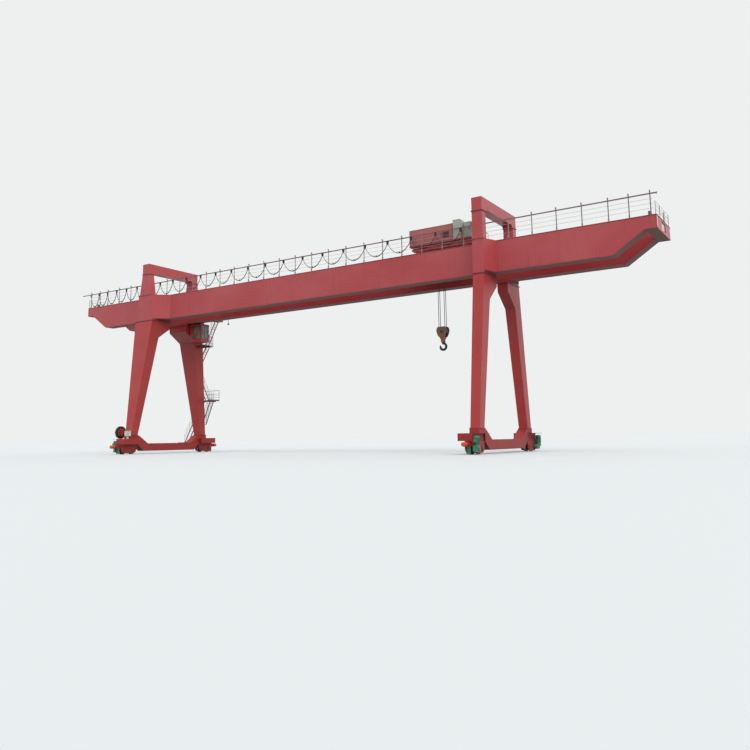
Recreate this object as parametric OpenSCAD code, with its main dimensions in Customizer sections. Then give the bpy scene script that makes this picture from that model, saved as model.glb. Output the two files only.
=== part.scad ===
// Rail mounted gantry crane with two box girders, a 1:2 scale model. Millimetres, Z up.
// X runs along the girders, Y is the way the crane travels on its rails, Z = 0 is the lowest line of the wheel flanges.

/* [Main sizes] */
// Leg axis of the wide, rigid pair along the girders
rigid_x = -9165; // [-10000:1:-8000]
// Leg axis of the slender pair along the girders
flex_x = 8835; // [8000:1:10000]
// Left end of the girders
girder_left = -14420; // [-15000:1:-12000]
// Right end of the girders
girder_right = 14950; // [12500:1:15000]
// Joint between the legs and the girders
leg_top = 6470; // [5900:1:7000]

/* [Girders] */
// Height from that joint to the underside of the girders
seat_depth = 95; // [60:1:150]
// Depth of the girders
girder_depth = 1190; // [1000:1:1400]
// Depth of their shallow ends
end_depth = 460; // [350:1:700]
// Length of the level shallow end
girder_end_flat = 400; // [200:1:700]
// Distance from the end to the full depth
girder_end_taper = 1490; // [1000:1:2500]
// Inner web face of each girder
web_inner = 565; // [520:1:620]
// Outer web face of each girder
web_outer = 1030; // [950:1:1090]
// Flange edge beyond the web
flange_proud = 14; // [5:1:30]
// Flange thickness
flange = 16; // [8:1:30]

/* [Leg heads] */
// Outer face of the legs at the top
leg_top_outer = 1670; // [1600:1:1800]
// Inner edge of the leg head under the girder
head_inner = 525; // [400:1:550]
// Top of the outboard girder boxes above the girder top
bracket_rise = 20; // [20:1:60]
// Half width of the rigid bracket at its outer face
rigid_bracket_outer = 470; // [420:1:560]
// Half width of the rigid bracket at the girder
rigid_bracket_root = 1190; // [700:1:1400]
// Half width of the slender bracket at its outer face
flex_bracket_outer = 225; // [215:1:300]
// Half width of the slender bracket at the girder
flex_bracket_root = 485; // [350:1:700]

/* [Legs] */
// Foot of the legs on the sill beam
leg_foot = 880; // [850:1:950]
// Outer face of the legs at the foot
foot_outer = 2405; // [2300:1:2440]
// Inner face of the legs at the foot
foot_inner = 2025; // [1960:1:2150]
// Height of the haunch at the head of the rigid legs
rigid_haunch = 830; // [600:1:1200]
// Height of the haunch at the head of the slender legs
flex_haunch = 920; // [600:1:1200]
// Height of the straight top of the leg head
head_straight = 340; // [150:1:450]
// Inner face of the legs where the haunch starts
haunch_inner = 1205; // [1100:1:1400]
// Half width of the rigid legs at the foot
rigid_half_foot = 212; // [150:1:300]
// Half width of the rigid legs at the top
rigid_half_top = 615; // [500:1:700]
// Half width of the slender legs at the foot
flex_half_foot = 180; // [120:1:250]
// Half width of the slender legs at the top
flex_half_top = 215; // [180:1:260]

/* [Saddles] */
// Top of the saddles above the girders
saddle_rise = 1590; // [1550:1:1900]
// Depth of the saddle beams
saddle_depth = 430; // [250:1:440]
// Height from the corner joint to the saddle top
saddle_corner = 515; // [450:1:700]
// Outer face of the saddles
saddle_outer = 1635; // [1560:1:1650]
// Inner face of the saddle posts
saddle_inner = 1320; // [1200:1:1400]
// Length of the gusset under the saddle beams
saddle_gusset = 110; // [40:1:200]
// Half width of the saddle over the rigid legs
rigid_saddle_half = 230; // [150:1:300]
// Half width of the foot of that saddle
rigid_saddle_foot = 400; // [300:1:440]
// Half width of the saddle over the slender legs
flex_saddle_half = 203; // [150:1:210]

/* [Sill beams] */
// Top of the low middle part
sill_top = 490; // [400:1:600]
// Underside of the sill beams
sill_under = 132; // [100:1:200]
// Half width of the rigid sill beam
rigid_sill_half = 212; // [150:1:250]
// Half width of the slender sill beam
flex_sill_half = 185; // [130:1:220]
// End of the low part on top
sill_low_end = 1395; // [1200:1:1500]
// Start of the raised part on top
sill_high_start = 1870; // [1700:1:1950]
// Outer end of the sill beams
sill_end = 2470; // [2430:1:2600]

/* [End trucks] */
// Middle of each end truck along the rail
truck_y = 2480; // [2400:1:2560]
// Length of the side plates
truck_length = 900; // [860:1:1000]
// Top of the side plates
truck_top = 455; // [430:1:500]
// Wheel distance in an end truck
wheel_base = 510; // [440:1:560]
// Wheel radius on the tread
wheel_radius = 180; // [150:1:200]
// Outer face of the side plates from the leg axis
plate_half = 160; // [140:1:200]
// Thickness of the side plates
plate = 22; // [12:1:30]
// Top of the head box on the truck
head_box_top = 715; // [650:1:760]
// Outer end of the head box
head_box_end = 2970; // [2900:1:3100]
// Reach of the head box towards the middle of the span
head_box_reach = 400; // [300:1:450]
// Reach of the head box the other way
head_box_back = 140; // [100:1:145]
// Height of the buffers
buffer_z = 345; // [300:1:400]
// Front face of the buffers
buffer_face = 3400; // [3250:1:3500]
// Motor distance from the leg axis
motor_x = 272; // [262:1:330]

/* [Trolley] */
// Left end of the trolley frame
trolley_left = 5560; // [4600:1:5700]
// Right end of the trolley frame
trolley_right = 8222; // [8220:1:9000]
// Hook line along the girders
hook_x = 6470; // [6300:1:6600]
// Trolley rail line on each girder
trolley_gauge = 640; // [600:1:720]
// Height of the trolley rails
rail_height = 60; // [40:1:80]
// Trolley wheel radius
trolley_wheel = 110; // [90:1:115]
// Underside of the trolley frame above the girders
frame_rise = 150; // [120:1:180]
// Depth of the trolley frame
frame_depth = 200; // [160:1:240]
// Height of the hoist housing
housing_height = 690; // [500:1:700]
// Height of the tall cabinet
cabinet_height = 775; // [500:1:785]
// Height of the low cabinet
low_cabinet_height = 610; // [300:1:700]

/* [Hoist] */
// Top of the hook block
block_top = 4909; // [4400:1:5400]
// Height of the hook block
block_height = 605; // [580:1:700]
// Length of the hook below its block
hook_length = 353; // [345:1:420]
// Thickness of the hook at its bowl
hook_thick = 98; // [70:1:104]
// Half distance of the rope falls along the girders
fall_x = 130; // [100:1:140]
// Half distance of the rope falls across
fall_y = 70; // [55:1:75]
// Rope radius
rope_radius = 11; // [6:1:16]

/* [Walkway and cable] */
// Cable rail height above the girders
cable_rise = 735; // [650:1:800]
// Line of the cable rail
cable_y = 962; // [950:1:975]
// Line of the handrail posts
post_y = 1012; // [1000:1:1025]
// Height of the tall posts
post_height = 835; // [800:1:900]
// Height of the top handrail
handrail_height = 545; // [450:1:600]
// Distance of the handrail posts
post_pitch = 905; // [700:1:1200]
// Half length of the cable rail
cable_rail_half = 15010; // [14960:1:15200]
// Left cable clamp
cable_left = -14315; // [-14400:1:-13000]
// Number of cable loops
loops = 23; // [21:1:30]
// Gap between the deepest cable loop and the girder
loop_clear = 32; // [20:1:200]

/* [Stairs and cab] */
// Level of the lowest landing on the far rigid leg
base_level = 1440; // [1300:1:1600]
// Level of the long landing
lower_level = 2675; // [2500:1:2800]
// Level of the landing behind the leg
middle_level = 4120; // [3900:1:4300]
// Level of the landing beside the cab
upper_level = 5500; // [5400:1:5560]
// Width of the stairs
stair_width = 270; // [220:1:300]
// Length of the cab
cab_length = 800; // [600:1:1000]
// Width of the cab
cab_width = 560; // [450:1:700]
// Height of the cab
cab_height = 900; // [800:1:950]
// Reel radius
reel_radius = 300; // [200:1:340]

/* [Hidden] */
$fn = 64;
// Levels that follow from the sizes above
girder_bottom = leg_top + seat_depth;
girder_top = girder_bottom + girder_depth;
girder_end_bottom = girder_top - end_depth;
bracket_top = girder_top + bracket_rise;
haunch_top = leg_top - head_straight;
saddle_top = girder_top + saddle_rise;
saddle_under = saddle_top - saddle_depth;
saddle_joint = saddle_top - saddle_corner;
frame_under = girder_top + frame_rise;
frame_top = frame_under + frame_depth;
rail_z = girder_top + cable_rise;
post_top = girder_top + post_height;
block_under = block_top - block_height;
hook_tip = block_under - hook_length;
// Radius of the wheel axles and the play in their bores
axle_radius = 40;
run_gap = 0.1;
// Gap between a bolted piece and a slanted face that it sits on
seat_gap = 0.3;
// Thickness of the flange plates at the bolted joints, and how far they stand out
joint_plate = 14;
joint_proud = 26;
// Thickness of platforms, stringers and treads
floor_plate = 20;
stringer = 12;
tread = 8;
tread_step = 125;
landing_rail_height = 540;
// Platform beside the far girder at the top of the stairs
walk_level = girder_bottom + 155;
// Place of the operator's cab under the far girder
cab_hanger = 75;
cab_x0 = rigid_x + rigid_half_top + joint_proud;
cab_x1 = cab_x0 + cab_length;
cab_y0 = 775;
cab_y1 = cab_y0 + cab_width;
cab_z1 = girder_bottom - cab_hanger;
cab_z0 = cab_z1 - cab_height;
cab_wall = 20;
// Closed panel beside the front window
cab_panel = 280;
// Place of the cable reel
reel_x = rigid_x - 700;
reel_y = -2330;
reel_z = 1020;
// Line of the drives along the rail
drive_y = truck_y + truck_length / 2 - 30;
// Arm of the trolley that tows the cable
tow_x = trolley_left + 2247;
tow_width = 60;
cable_right = tow_x + tow_width / 2;
// Outer end and inner end of the parts of a truck, and the height of its axles
head_box_start = truck_y - 480;
wheel_flange = 12;
wheel_half = 48;
hub_half = plate_half - plate - 6;
axle_z = wheel_radius;
boss = 12;
plate_lift = 40;
// Details of the girder ends and the trolley rails
head_plate = 20;
tie_plate = 80;
tie_depth = 140;
tie_post = 250;
tie_web = 20;
stop_inset = 250;
stop_length = 80;
stop_height = 230;
gear_top = 290;
motor_height = 330;
// Handrail and cable rail sections
post_half = 16;
bar_half = 8;
cable_rail = 20;
carrier_half = 14;
end_rail_inset = 60;
// Lanes of the stairs along the far rigid leg
inner_lane = 2170;
outer_lane = 2500;
tread_depth = 60;
window_sill = 150;
control_z = 845;
// Trolley deck and rope drum
deck_half = 860;
drum_half = 240;
drum_z = frame_under + 20;

red = [0.62, 0.2, 0.19];
dark_red = [0.45, 0.14, 0.14];
grey = [0.45, 0.47, 0.45];
dark = [0.16, 0.16, 0.17];
green = [0.16, 0.36, 0.27];
orange = [0.8, 0.3, 0.16];

// A box between two corners
module box(a, b) {
    translate([min(a[0], b[0]), min(a[1], b[1]), min(a[2], b[2])])
        cube([abs(b[0] - a[0]), abs(b[1] - a[1]), abs(b[2] - a[2])]);
}

// A profile drawn as X, Z and pulled along Y from y0 to y1
module pull_y(y0, y1, points) {
    translate([0, y1, 0])
        rotate([90, 0, 0])
            linear_extrude(height = y1 - y0)
                polygon(points);
}

// A profile drawn as Y, Z and pulled along X from x0 to x1
module pull_x(x0, x1, points) {
    translate([x0, 0, 0])
        rotate([90, 0, 90])
            linear_extrude(height = x1 - x0)
                polygon(points);
}

// The far side is the near side seen in a mirror
module far_side() {
    mirror([0, 1, 0])
        children();
}

// Side profile of a girder, drawn in by a step on every edge
module girder_profile(y0, y1, step) {
    pull_y(y0, y1, [
        [girder_left + step, girder_end_bottom + step],
        [girder_left + girder_end_flat + step * 0.4, girder_end_bottom + step],
        [girder_left + girder_end_taper + step * 0.4, girder_bottom + step],
        [girder_right - girder_end_taper - step * 0.4, girder_bottom + step],
        [girder_right - girder_end_flat - step * 0.4, girder_end_bottom + step],
        [girder_right - step, girder_end_bottom + step],
        [girder_right - step, girder_top - step],
        [girder_left + step, girder_top - step]]);
}

// Outboard box on a girder that carries the saddle and stands on the leg
module bracket(x, half_outer, half_root, half_head) {
    translate([x, 0, girder_bottom])
        linear_extrude(height = bracket_top - girder_bottom - head_plate)
            polygon([[-half_root, -web_outer + 20], [half_root, -web_outer + 20],
                [half_outer, -leg_top_outer + joint_proud], [-half_outer, -leg_top_outer + joint_proud]]);
    box([x - half_outer - joint_proud, -leg_top_outer, bracket_top - head_plate],
        [x + half_outer + joint_proud, -web_outer, bracket_top]);
    box([x - half_head - joint_proud, -leg_top_outer - joint_proud, leg_top],
        [x + half_head + joint_proud, -head_inner + joint_proud, leg_top + head_plate]);
    box([x - half_head, -leg_top_outer + joint_proud, leg_top + head_plate], [x + half_head, -head_inner - 30, girder_bottom]);
}

// One box girder with its two outboard boxes, on the near side
module girder() {
    difference() {
        girder_profile(-web_outer - flange_proud, -web_inner + flange_proud, 0);
        girder_profile(-web_outer - flange_proud - 5, -web_outer, flange);
        girder_profile(-web_inner, -web_inner + flange_proud + 5, flange);
    }
    bracket(rigid_x, rigid_bracket_outer, rigid_bracket_root, rigid_half_top);
    bracket(flex_x, flex_bracket_outer, flex_bracket_root, flex_half_top);
}

module near_girder() {
    color(red) girder();
}

module far_girder() {
    color(red) far_side() girder();
}

// Frame between the two girder ends, with a plate set back in its middle
module end_tie(x_end, side) {
    gap = web_inner - flange_proud;
    x_in = x_end - side * girder_end_flat;
    x_beam = x_end - side * tie_depth;
    box([x_in, -gap, girder_end_bottom], [x_end, gap, girder_end_bottom + tie_plate]);
    box([x_beam, -gap, girder_top - tie_plate], [x_end, gap, girder_top]);
    for (s = [-1, 1])
        box([x_beam, s * gap, girder_end_bottom + tie_plate], [x_end, s * (gap - tie_post), girder_top - tie_plate]);
    box([x_beam, -gap + tie_post, girder_end_bottom + tie_plate], [x_beam + side * tie_web, gap - tie_post, girder_top - tie_plate]);
}

module left_end_tie() {
    color(red) end_tie(girder_left, -1);
}

module right_end_tie() {
    color(red) end_tie(girder_right, 1);
}

// Rail on a foot flange along each girder, with an end stop
module trolley_rails() {
    x0 = girder_left + stop_inset;
    x1 = girder_right - stop_inset;
    color(dark)
        for (s = [-1, 1]) {
            pull_x(x0, x1, [for (p = [[-30, 0], [30, 0], [30, 10], [6, 18], [6, 40], [16, 44], [16, 60], [-16, 60], [-16, 44], [-6, 40], [-6, 18], [-30, 10]])
                [s * trolley_gauge + p[0], girder_top + p[1] * rail_height / 60]]);
            for (x = [x0, x1 - stop_length])
                box([x, s * trolley_gauge - 50, girder_top], [x + stop_length, s * trolley_gauge + 50, girder_top + stop_height]);
        }
}

// The tapered box of a leg, cut from its front view and its side view and grown for a clearance
module leg_box(x, haunch, half_foot, half_top, grow) {
    intersection() {
        pull_x(x - 1000, x + 1000, [
            [-foot_outer - grow, leg_foot], [-foot_inner + grow, leg_foot], [-haunch_inner + grow, leg_top - haunch],
            [-head_inner + grow, haunch_top], [-head_inner + grow, leg_top], [-leg_top_outer - grow, leg_top]]);
        pull_y(-3000, 0, [
            [x - half_foot - grow, leg_foot], [x + half_foot + grow, leg_foot],
            [x + half_top + grow, leg_top], [x - half_top - grow, leg_top]]);
    }
}

// The far rigid leg as a cutter for what is fixed to it
module far_rigid_cutter() {
    far_side() leg_box(rigid_x, rigid_haunch, rigid_half_foot, rigid_half_top, seat_gap);
}

// A leg with the flanges of its two bolted joints
module leg(x, haunch, half_foot, half_top) {
    leg_box(x, haunch, half_foot, half_top, 0);
    box([x - half_foot - joint_proud, -foot_outer - joint_proud, leg_foot],
        [x + half_foot + joint_proud, -foot_inner + joint_proud, leg_foot + joint_plate]);
    box([x - half_top - joint_proud, -leg_top_outer - joint_proud, leg_top - joint_plate],
        [x + half_top + joint_proud, -head_inner + joint_proud, leg_top]);
}

module near_rigid_leg() {
    color(red) leg(rigid_x, rigid_haunch, rigid_half_foot, rigid_half_top);
}

module far_rigid_leg() {
    color(red) far_side() leg(rigid_x, rigid_haunch, rigid_half_foot, rigid_half_top);
}

module near_flex_leg() {
    color(red) leg(flex_x, flex_haunch, flex_half_foot, flex_half_top);
}

module far_flex_leg() {
    color(red) far_side() leg(flex_x, flex_haunch, flex_half_foot, flex_half_top);
}

// Portal that ties the two girders together over the trolley
module saddle(x, half, half_foot) {
    g = saddle_gusset;
    intersection() {
        pull_x(x - 600, x + 600, [
            [-saddle_outer, bracket_top], [-saddle_inner, bracket_top], [-saddle_inner, saddle_under - g],
            [-saddle_inner + g, saddle_under], [saddle_inner - g, saddle_under],
            [saddle_inner, saddle_under - g], [saddle_inner, bracket_top], [saddle_outer, bracket_top],
            [saddle_outer, saddle_top], [-saddle_outer, saddle_top]]);
        pull_y(-2000, 2000, [
            [x - half_foot, bracket_top], [x + half_foot, bracket_top], [x + half, saddle_joint],
            [x + half, saddle_top], [x - half, saddle_top], [x - half, saddle_joint]]);
    }
    for (s = [-1, 1]) {
        box([x - half_foot - joint_proud, s * (saddle_outer + joint_proud), bracket_top],
            [x + half_foot + joint_proud, s * (saddle_inner - joint_proud), bracket_top + joint_plate]);
        box([x - half - joint_proud, s * (saddle_outer + joint_proud), saddle_joint - joint_plate],
            [x + half + joint_proud, s * (saddle_inner - joint_proud), saddle_joint + joint_plate]);
    }
}

module rigid_saddle() {
    color(red) saddle(rigid_x, rigid_saddle_half, rigid_saddle_foot);
}

module flex_saddle() {
    color(red) saddle(flex_x, flex_saddle_half, flex_saddle_half + 10);
}

// Gooseneck sill beam: low in the middle, raised over the head boxes of the trucks
module sill_beam(x, half) {
    top = leg_foot - joint_plate;
    neck = top - 36;
    start = head_box_start;
    low = truck_top - 30;
    pull_x(x - half, x + half, [
        [-sill_end, head_box_top], [-start, head_box_top], [-start, low], [-start + 40, low - 20],
        [-sill_low_end - 235, sill_under], [sill_low_end + 235, sill_under],
        [start - 40, low - 20], [start, low], [start, head_box_top], [sill_end, head_box_top], [sill_end, top],
        [sill_high_start + 90, top], [sill_high_start, neck], [sill_low_end, sill_top], [-sill_low_end, sill_top],
        [-sill_high_start, neck], [-sill_high_start - 90, top], [-sill_end, top]]);
    for (s = [-1, 1])
        box([x - half - joint_proud, s * (foot_inner - joint_proud), top],
            [x + half + joint_proud, s * (foot_outer + joint_proud), leg_foot]);
}

module rigid_sill_beam() {
    color(red) sill_beam(rigid_x, rigid_sill_half);
}

module flex_sill_beam() {
    color(red) sill_beam(flex_x, flex_sill_half);
}

// Outline of a side plate, boat shaped with two round lower corners, as Y along and Z up
module boat_outline() {
    r = (truck_top - plate_lift) / 2;
    h = truck_length / 2;
    translate([-h, r + plate_lift])
        square([2 * h, truck_top - r - plate_lift]);
    translate([-h + r, plate_lift])
        square([2 * h - 2 * r, truck_top - plate_lift]);
    for (s = [-1, 1])
        translate([s * (h - r), r + plate_lift])
            circle(r = r);
}

// End truck: two side plates over the wheels, the head box that the sill beam rests on, guard and buffer.
// The head box reaches towards the middle of the span, so side is 1 on the left and -1 on the right.
module truck(x, side) {
    y_end = -truck_y - truck_length / 2;
    y_in = -truck_y + truck_length / 2;
    deck = truck_top - plate;
    inner = plate_half - plate;
    difference() {
        union() {
            for (s = [-1, 1]) {
                translate([x + s * (plate_half - plate / 2) - plate / 2, -truck_y, 0])
                    rotate([90, 0, 90])
                        linear_extrude(height = plate)
                            boat_outline();
                for (w = [-1, 1])
                    translate([x + s * (plate_half + boss / 2) - boss / 2, -truck_y + w * wheel_base / 2, axle_z])
                        rotate([0, 90, 0])
                            cylinder(h = boss, r = 82);
            }
            box([x - inner, y_end, deck], [x + inner, y_in, truck_top]);
            box([x - inner, -truck_y - plate / 2, axle_z - 60], [x + inner, -truck_y + plate / 2, deck]);
            box([x - inner, y_end, axle_z + 90], [x + inner, y_end + plate, deck]);
            box([x - inner, y_in - plate, axle_z + 120], [x + inner, y_in, deck]);
            box([x - side * head_box_back, -head_box_end, truck_top], [x + side * head_box_reach, -head_box_start, head_box_top]);
            box([x - 85, y_end - 150, buffer_z - 85], [x + 85, y_end, buffer_z + 85]);
            pull_x(x - 70, x + 70, [[y_end - 20, 30], [y_end - 40, 30], [y_end - 60, buffer_z - 85], [y_end - 20, buffer_z - 85]]);
            translate([x, y_end - 150, buffer_z])
                rotate([90, 0, 0])
                    cylinder(h = buffer_face - truck_y - truck_length / 2 - 150, r = 62);
        }
        for (w = [-1, 1])
            translate([x - plate_half - 60, -truck_y + w * wheel_base / 2, axle_z])
                rotate([0, 90, 0])
                    cylinder(h = 2 * plate_half + 120, r = axle_radius);
    }
}

module near_rigid_truck() {
    color(dark_red) truck(rigid_x, 1);
}

module far_rigid_truck() {
    color(dark_red) far_side() truck(rigid_x, 1);
}

module near_flex_truck() {
    color(dark_red) truck(flex_x, -1);
}

module far_flex_truck() {
    color(dark_red) far_side() truck(flex_x, -1);
}

// Rail wheel with two flanges, turned as one profile with its axle
module wheel(x, y) {
    r = wheel_radius;
    tread_r = r - wheel_flange;
    end = plate_half + boss - 1;
    translate([x, y, axle_z])
        rotate([0, 90, 0])
            rotate_extrude()
                polygon([[0, -end], [axle_radius - run_gap, -end], [axle_radius - run_gap, -hub_half], [66, -hub_half], [66, -14],
                    [tread_r - 34, -14], [tread_r - 34, -wheel_half], [r, -wheel_half], [r, -wheel_half + 8], [tread_r, -wheel_half + 16],
                    [tread_r, wheel_half - 16], [r, wheel_half - 8], [r, wheel_half], [tread_r - 34, wheel_half], [tread_r - 34, 14],
                    [66, 14], [66, hub_half], [axle_radius - run_gap, hub_half], [axle_radius - run_gap, end], [0, end]]);
}

module near_rigid_wheel_outer() {
    color(dark) wheel(rigid_x, -truck_y - wheel_base / 2);
}

module near_rigid_wheel_inner() {
    color(dark) wheel(rigid_x, -truck_y + wheel_base / 2);
}

module far_rigid_wheel_outer() {
    color(dark) wheel(rigid_x, truck_y + wheel_base / 2);
}

module far_rigid_wheel_inner() {
    color(dark) wheel(rigid_x, truck_y - wheel_base / 2);
}

module near_flex_wheel_outer() {
    color(dark) wheel(flex_x, -truck_y - wheel_base / 2);
}

module near_flex_wheel_inner() {
    color(dark) wheel(flex_x, -truck_y + wheel_base / 2);
}

module far_flex_wheel_outer() {
    color(dark) wheel(flex_x, truck_y + wheel_base / 2);
}

module far_flex_wheel_inner() {
    color(dark) wheel(flex_x, truck_y - wheel_base / 2);
}

// Geared motor on the outer side of a truck, on the axle of its outer wheel
module drive(x, s) {
    y_axle = -truck_y - wheel_base / 2;
    x_in = plate_half + boss;
    difference() {
        union() {
            translate([x + s * (x_in + 60) - 60, y_axle, axle_z])
                rotate([0, 90, 0])
                    cylinder(h = 120, r = 98);
            pull_x(x + s * (x_in + 60) - 60, x + s * (x_in + 60) + 60, [
                [y_axle, axle_z - 98], [y_axle, axle_z + 98], [-drive_y - 40, gear_top], [-drive_y - 105, gear_top], [-drive_y - 105, 95]]);
            translate([x + s * motor_x, -drive_y, gear_top - 90])
                cylinder(h = 100, r = 96);
        }
        translate([x + s * (x_in + 30) - 30 - 1, y_axle, axle_z])
            rotate([0, 90, 0])
                cylinder(h = 62, r = axle_radius + 1);
    }
    translate([x + s * motor_x, -drive_y, gear_top + 10])
        cylinder(h = motor_height - 70, r = 88);
    translate([x + s * motor_x, -drive_y, gear_top + motor_height - 60])
        cylinder(h = 60, r = 94);
    box([x + s * motor_x - 45, -drive_y - 125, gear_top + 120], [x + s * motor_x + 45, -drive_y - 60, gear_top + 220]);
}

module near_rigid_drive() {
    color(green) drive(rigid_x, -1);
}

module far_rigid_drive() {
    color(green) far_side() drive(rigid_x, -1);
}

module near_flex_drive() {
    color(green) drive(flex_x, 1);
}

module far_flex_drive() {
    color(green) far_side() drive(flex_x, 1);
}

// Heights of the three bars of the handrails above the girders
bar_heights = [handrail_height * 0.4, handrail_height * 0.7, handrail_height];
// Posts stand closer together at both ends, and none stands in line with a leg
main_posts = [for (x = girder_right - 1549, i = 0; x > girder_left + 1900; i = i + 1, x = girder_right - 1549 - i * post_pitch) x];
post_list = concat([girder_left + 185, girder_left + 917, girder_left + 1563],
    [for (x = main_posts) if (abs(x - rigid_x) > 260 && abs(x - flex_x) > 260) x],
    [girder_right - 865, girder_right - 170]);

// Handrail of one girder, with three bars and tall or short posts
module side_rail(y, height, x0, x1) {
    for (x = post_list)
        box([x - post_half, y - post_half, girder_top], [x + post_half, y + post_half, girder_top + height]);
    for (h = bar_heights)
        box([x0, y - bar_half, girder_top + h - bar_half], [x1, y + bar_half, girder_top + h + bar_half]);
}

// Handrail across the girder ends
module end_rail(x) {
    for (y = [-web_inner - 30, 0, web_inner + 30])
        box([x - post_half, y - post_half, girder_top], [x + post_half, y + post_half, girder_top + handrail_height + bar_half]);
    for (h = bar_heights)
        box([x - bar_half, -post_y - bar_half, girder_top + h - bar_half], [x + bar_half, post_y + bar_half, girder_top + h + bar_half]);
}

module near_walkway_rail() {
    color(grey) {
        side_rail(-post_y, post_height, girder_left + end_rail_inset + bar_half, girder_right - end_rail_inset + bar_half);
        for (x = post_list)
            box([x - post_half, -post_y, rail_z + cable_rail], [x + post_half, -cable_y + 12, rail_z + cable_rail + 25]);
        box([-cable_rail_half, -cable_y - 15, rail_z - cable_rail], [cable_rail_half, -cable_y + 15, rail_z + cable_rail]);
        end_rail(girder_right - end_rail_inset);
    }
}

module far_walkway_rail() {
    color(grey) {
        side_rail(post_y, handrail_height + bar_half, girder_left + end_rail_inset - bar_half, girder_right - end_rail_inset - bar_half);
        end_rail(girder_left + end_rail_inset);
    }
}

// Place of carrier i on the cable rail; the loops grow longer towards the trolley
function carrier_x(i) = cable_left + (cable_right - cable_left)
    * (0.657 * i / loops + 0.564 * pow(i / loops, 2) - 0.221 * pow(i / loops, 3));

// Depth of the loop that follows carrier i: each loop has the same length of cable, and the first is the deepest
function loop_sag(i) = 0.425 * sqrt(pow(loop_length, 2) - pow(carrier_x(i + 1) - carrier_x(i), 2));
hang_drop = 90;
loop_length = norm([(cable_rise - hang_drop - 10 - loop_clear) / 0.425, carrier_x(1) - carrier_x(0)]);

// Hanging cable under its rail, one arc from carrier to carrier
module festoon_cable() {
    steps = 8;
    hang = rail_z - hang_drop;
    line = [for (i = [0:loops * steps]) let (k = min(floor(i / steps), loops - 1), u = i / steps - k)
        [carrier_x(k) + u * (carrier_x(k + 1) - carrier_x(k)), hang - loop_sag(k) * 4 * u * (1 - u)]];
    last = len(line) - 1;
    color(dark) {
        pull_y(-cable_y - 9, -cable_y + 9, concat([for (p = line) [p[0], p[1] - 10]],
            [for (i = [last:-1:0]) [line[i][0], line[i][1] + 10]]));
        for (i = [0:loops])
            box([carrier_x(i) - 22, -cable_y - carrier_half, hang - 12], [carrier_x(i) + 22, -cable_y + carrier_half, rail_z - cable_rail]);
    }
}

// Steep stair between two points in one plane along X
module stair_x(x0, z0, x1, z1, y0, y1) {
    d = x1 > x0 ? 1 : -1;
    count = ceil((z1 - z0) / tread_step);
    for (y = [y0, y1 - stringer])
        pull_y(y, y + stringer, [[x0, z0], [x0 + d * tread_depth, z0], [x1 + d * tread_depth, z1], [x1, z1]]);
    for (i = [1:count - 1])
        box([x0 + (x1 - x0) * i / count + d * 4, y0 + stringer / 2, z0 + (z1 - z0) * i / count - tread / 2],
            [x0 + (x1 - x0) * i / count + d * (tread_depth - 4), y1 - stringer / 2, z0 + (z1 - z0) * i / count + tread / 2]);
}

// Steep stair between two points in one plane along Y
module stair_y(y0, z0, y1, z1, x0, x1) {
    d = y1 > y0 ? 1 : -1;
    count = ceil((z1 - z0) / tread_step);
    for (x = [x0, x1 - stringer])
        pull_x(x, x + stringer, [[y0, z0], [y0 + d * tread_depth, z0], [y1 + d * tread_depth, z1], [y1, z1]]);
    for (i = [1:count - 1])
        box([x0 + stringer / 2, y0 + (y1 - y0) * i / count + d * 4, z0 + (z1 - z0) * i / count - tread / 2],
            [x1 - stringer / 2, y0 + (y1 - y0) * i / count + d * (tread_depth - 4), z0 + (z1 - z0) * i / count + tread / 2]);
}

// Floor plate from corner to corner, its top at the given level
module platform(a, b) {
    box([a[0], a[1], a[2] - floor_plate], b);
}

// Two bars on three posts along X on the edge of a landing
module landing_rail(x0, x1, y, z) {
    for (x = [x0, (x0 + x1) / 2, x1])
        box([x - 10, y - 10, z], [x + 10, y + 10, z + landing_rail_height]);
    for (h = [landing_rail_height / 3, landing_rail_height * 2 / 3, landing_rail_height - 8])
        box([x0, y - bar_half, z + h - bar_half], [x1, y + bar_half, z + h + bar_half]);
}

// The same along Y
module landing_rail_y(y0, y1, x, z) {
    for (y = [y0, (y0 + y1) / 2, y1])
        box([x - 10, y - 10, z], [x + 10, y + 10, z + landing_rail_height]);
    for (h = [landing_rail_height / 3, landing_rail_height * 2 / 3, landing_rail_height - 8])
        box([x - bar_half, y0, z + h - bar_half], [x + bar_half, y1, z + h + bar_half]);
}

// From the sill beam up the outer side of the far rigid leg
module leg_stair_lower() {
    x1 = rigid_x - rigid_sill_half - 60;
    x0 = x1 - stair_width;
    y1 = outer_lane + stair_width;
    step_y = foot_inner - 350;
    color(dark_red)
        difference() {
            union() {
                platform([x0, sill_low_end - 160, sill_top + floor_plate], [rigid_x - rigid_sill_half + 60, sill_low_end, sill_top + floor_plate]);
                platform([x0, sill_low_end - 160, sill_top + floor_plate], [x1, step_y + tread_depth, sill_top + floor_plate]);
                stair_y(step_y, sill_top + floor_plate, step_y + 500, base_level - floor_plate, x0, x1);
                platform([x0 - 40, step_y + 500, base_level], [x1, y1, base_level]);
                platform([x0 - 40, step_y + 500, base_level], [rigid_x - 60, y1, base_level]);
                stair_x(rigid_x - 120, base_level, rigid_x + 400, lower_level - floor_plate, outer_lane, y1);
            }
            far_rigid_cutter();
        }
}

module leg_landing_lower() {
    color(dark_red)
        difference() {
            union() {
                platform([rigid_x - 500, inner_lane - 70, lower_level], [rigid_x + 700, outer_lane + stair_width + 150, lower_level]);
                landing_rail(rigid_x - 490, rigid_x + 690, outer_lane + stair_width + 138, lower_level);
            }
            box([rigid_x - 60, outer_lane - 10, lower_level - 100], [rigid_x + 400, outer_lane + stair_width + 10, lower_level + 10]);
            far_rigid_cutter();
        }
}

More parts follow.
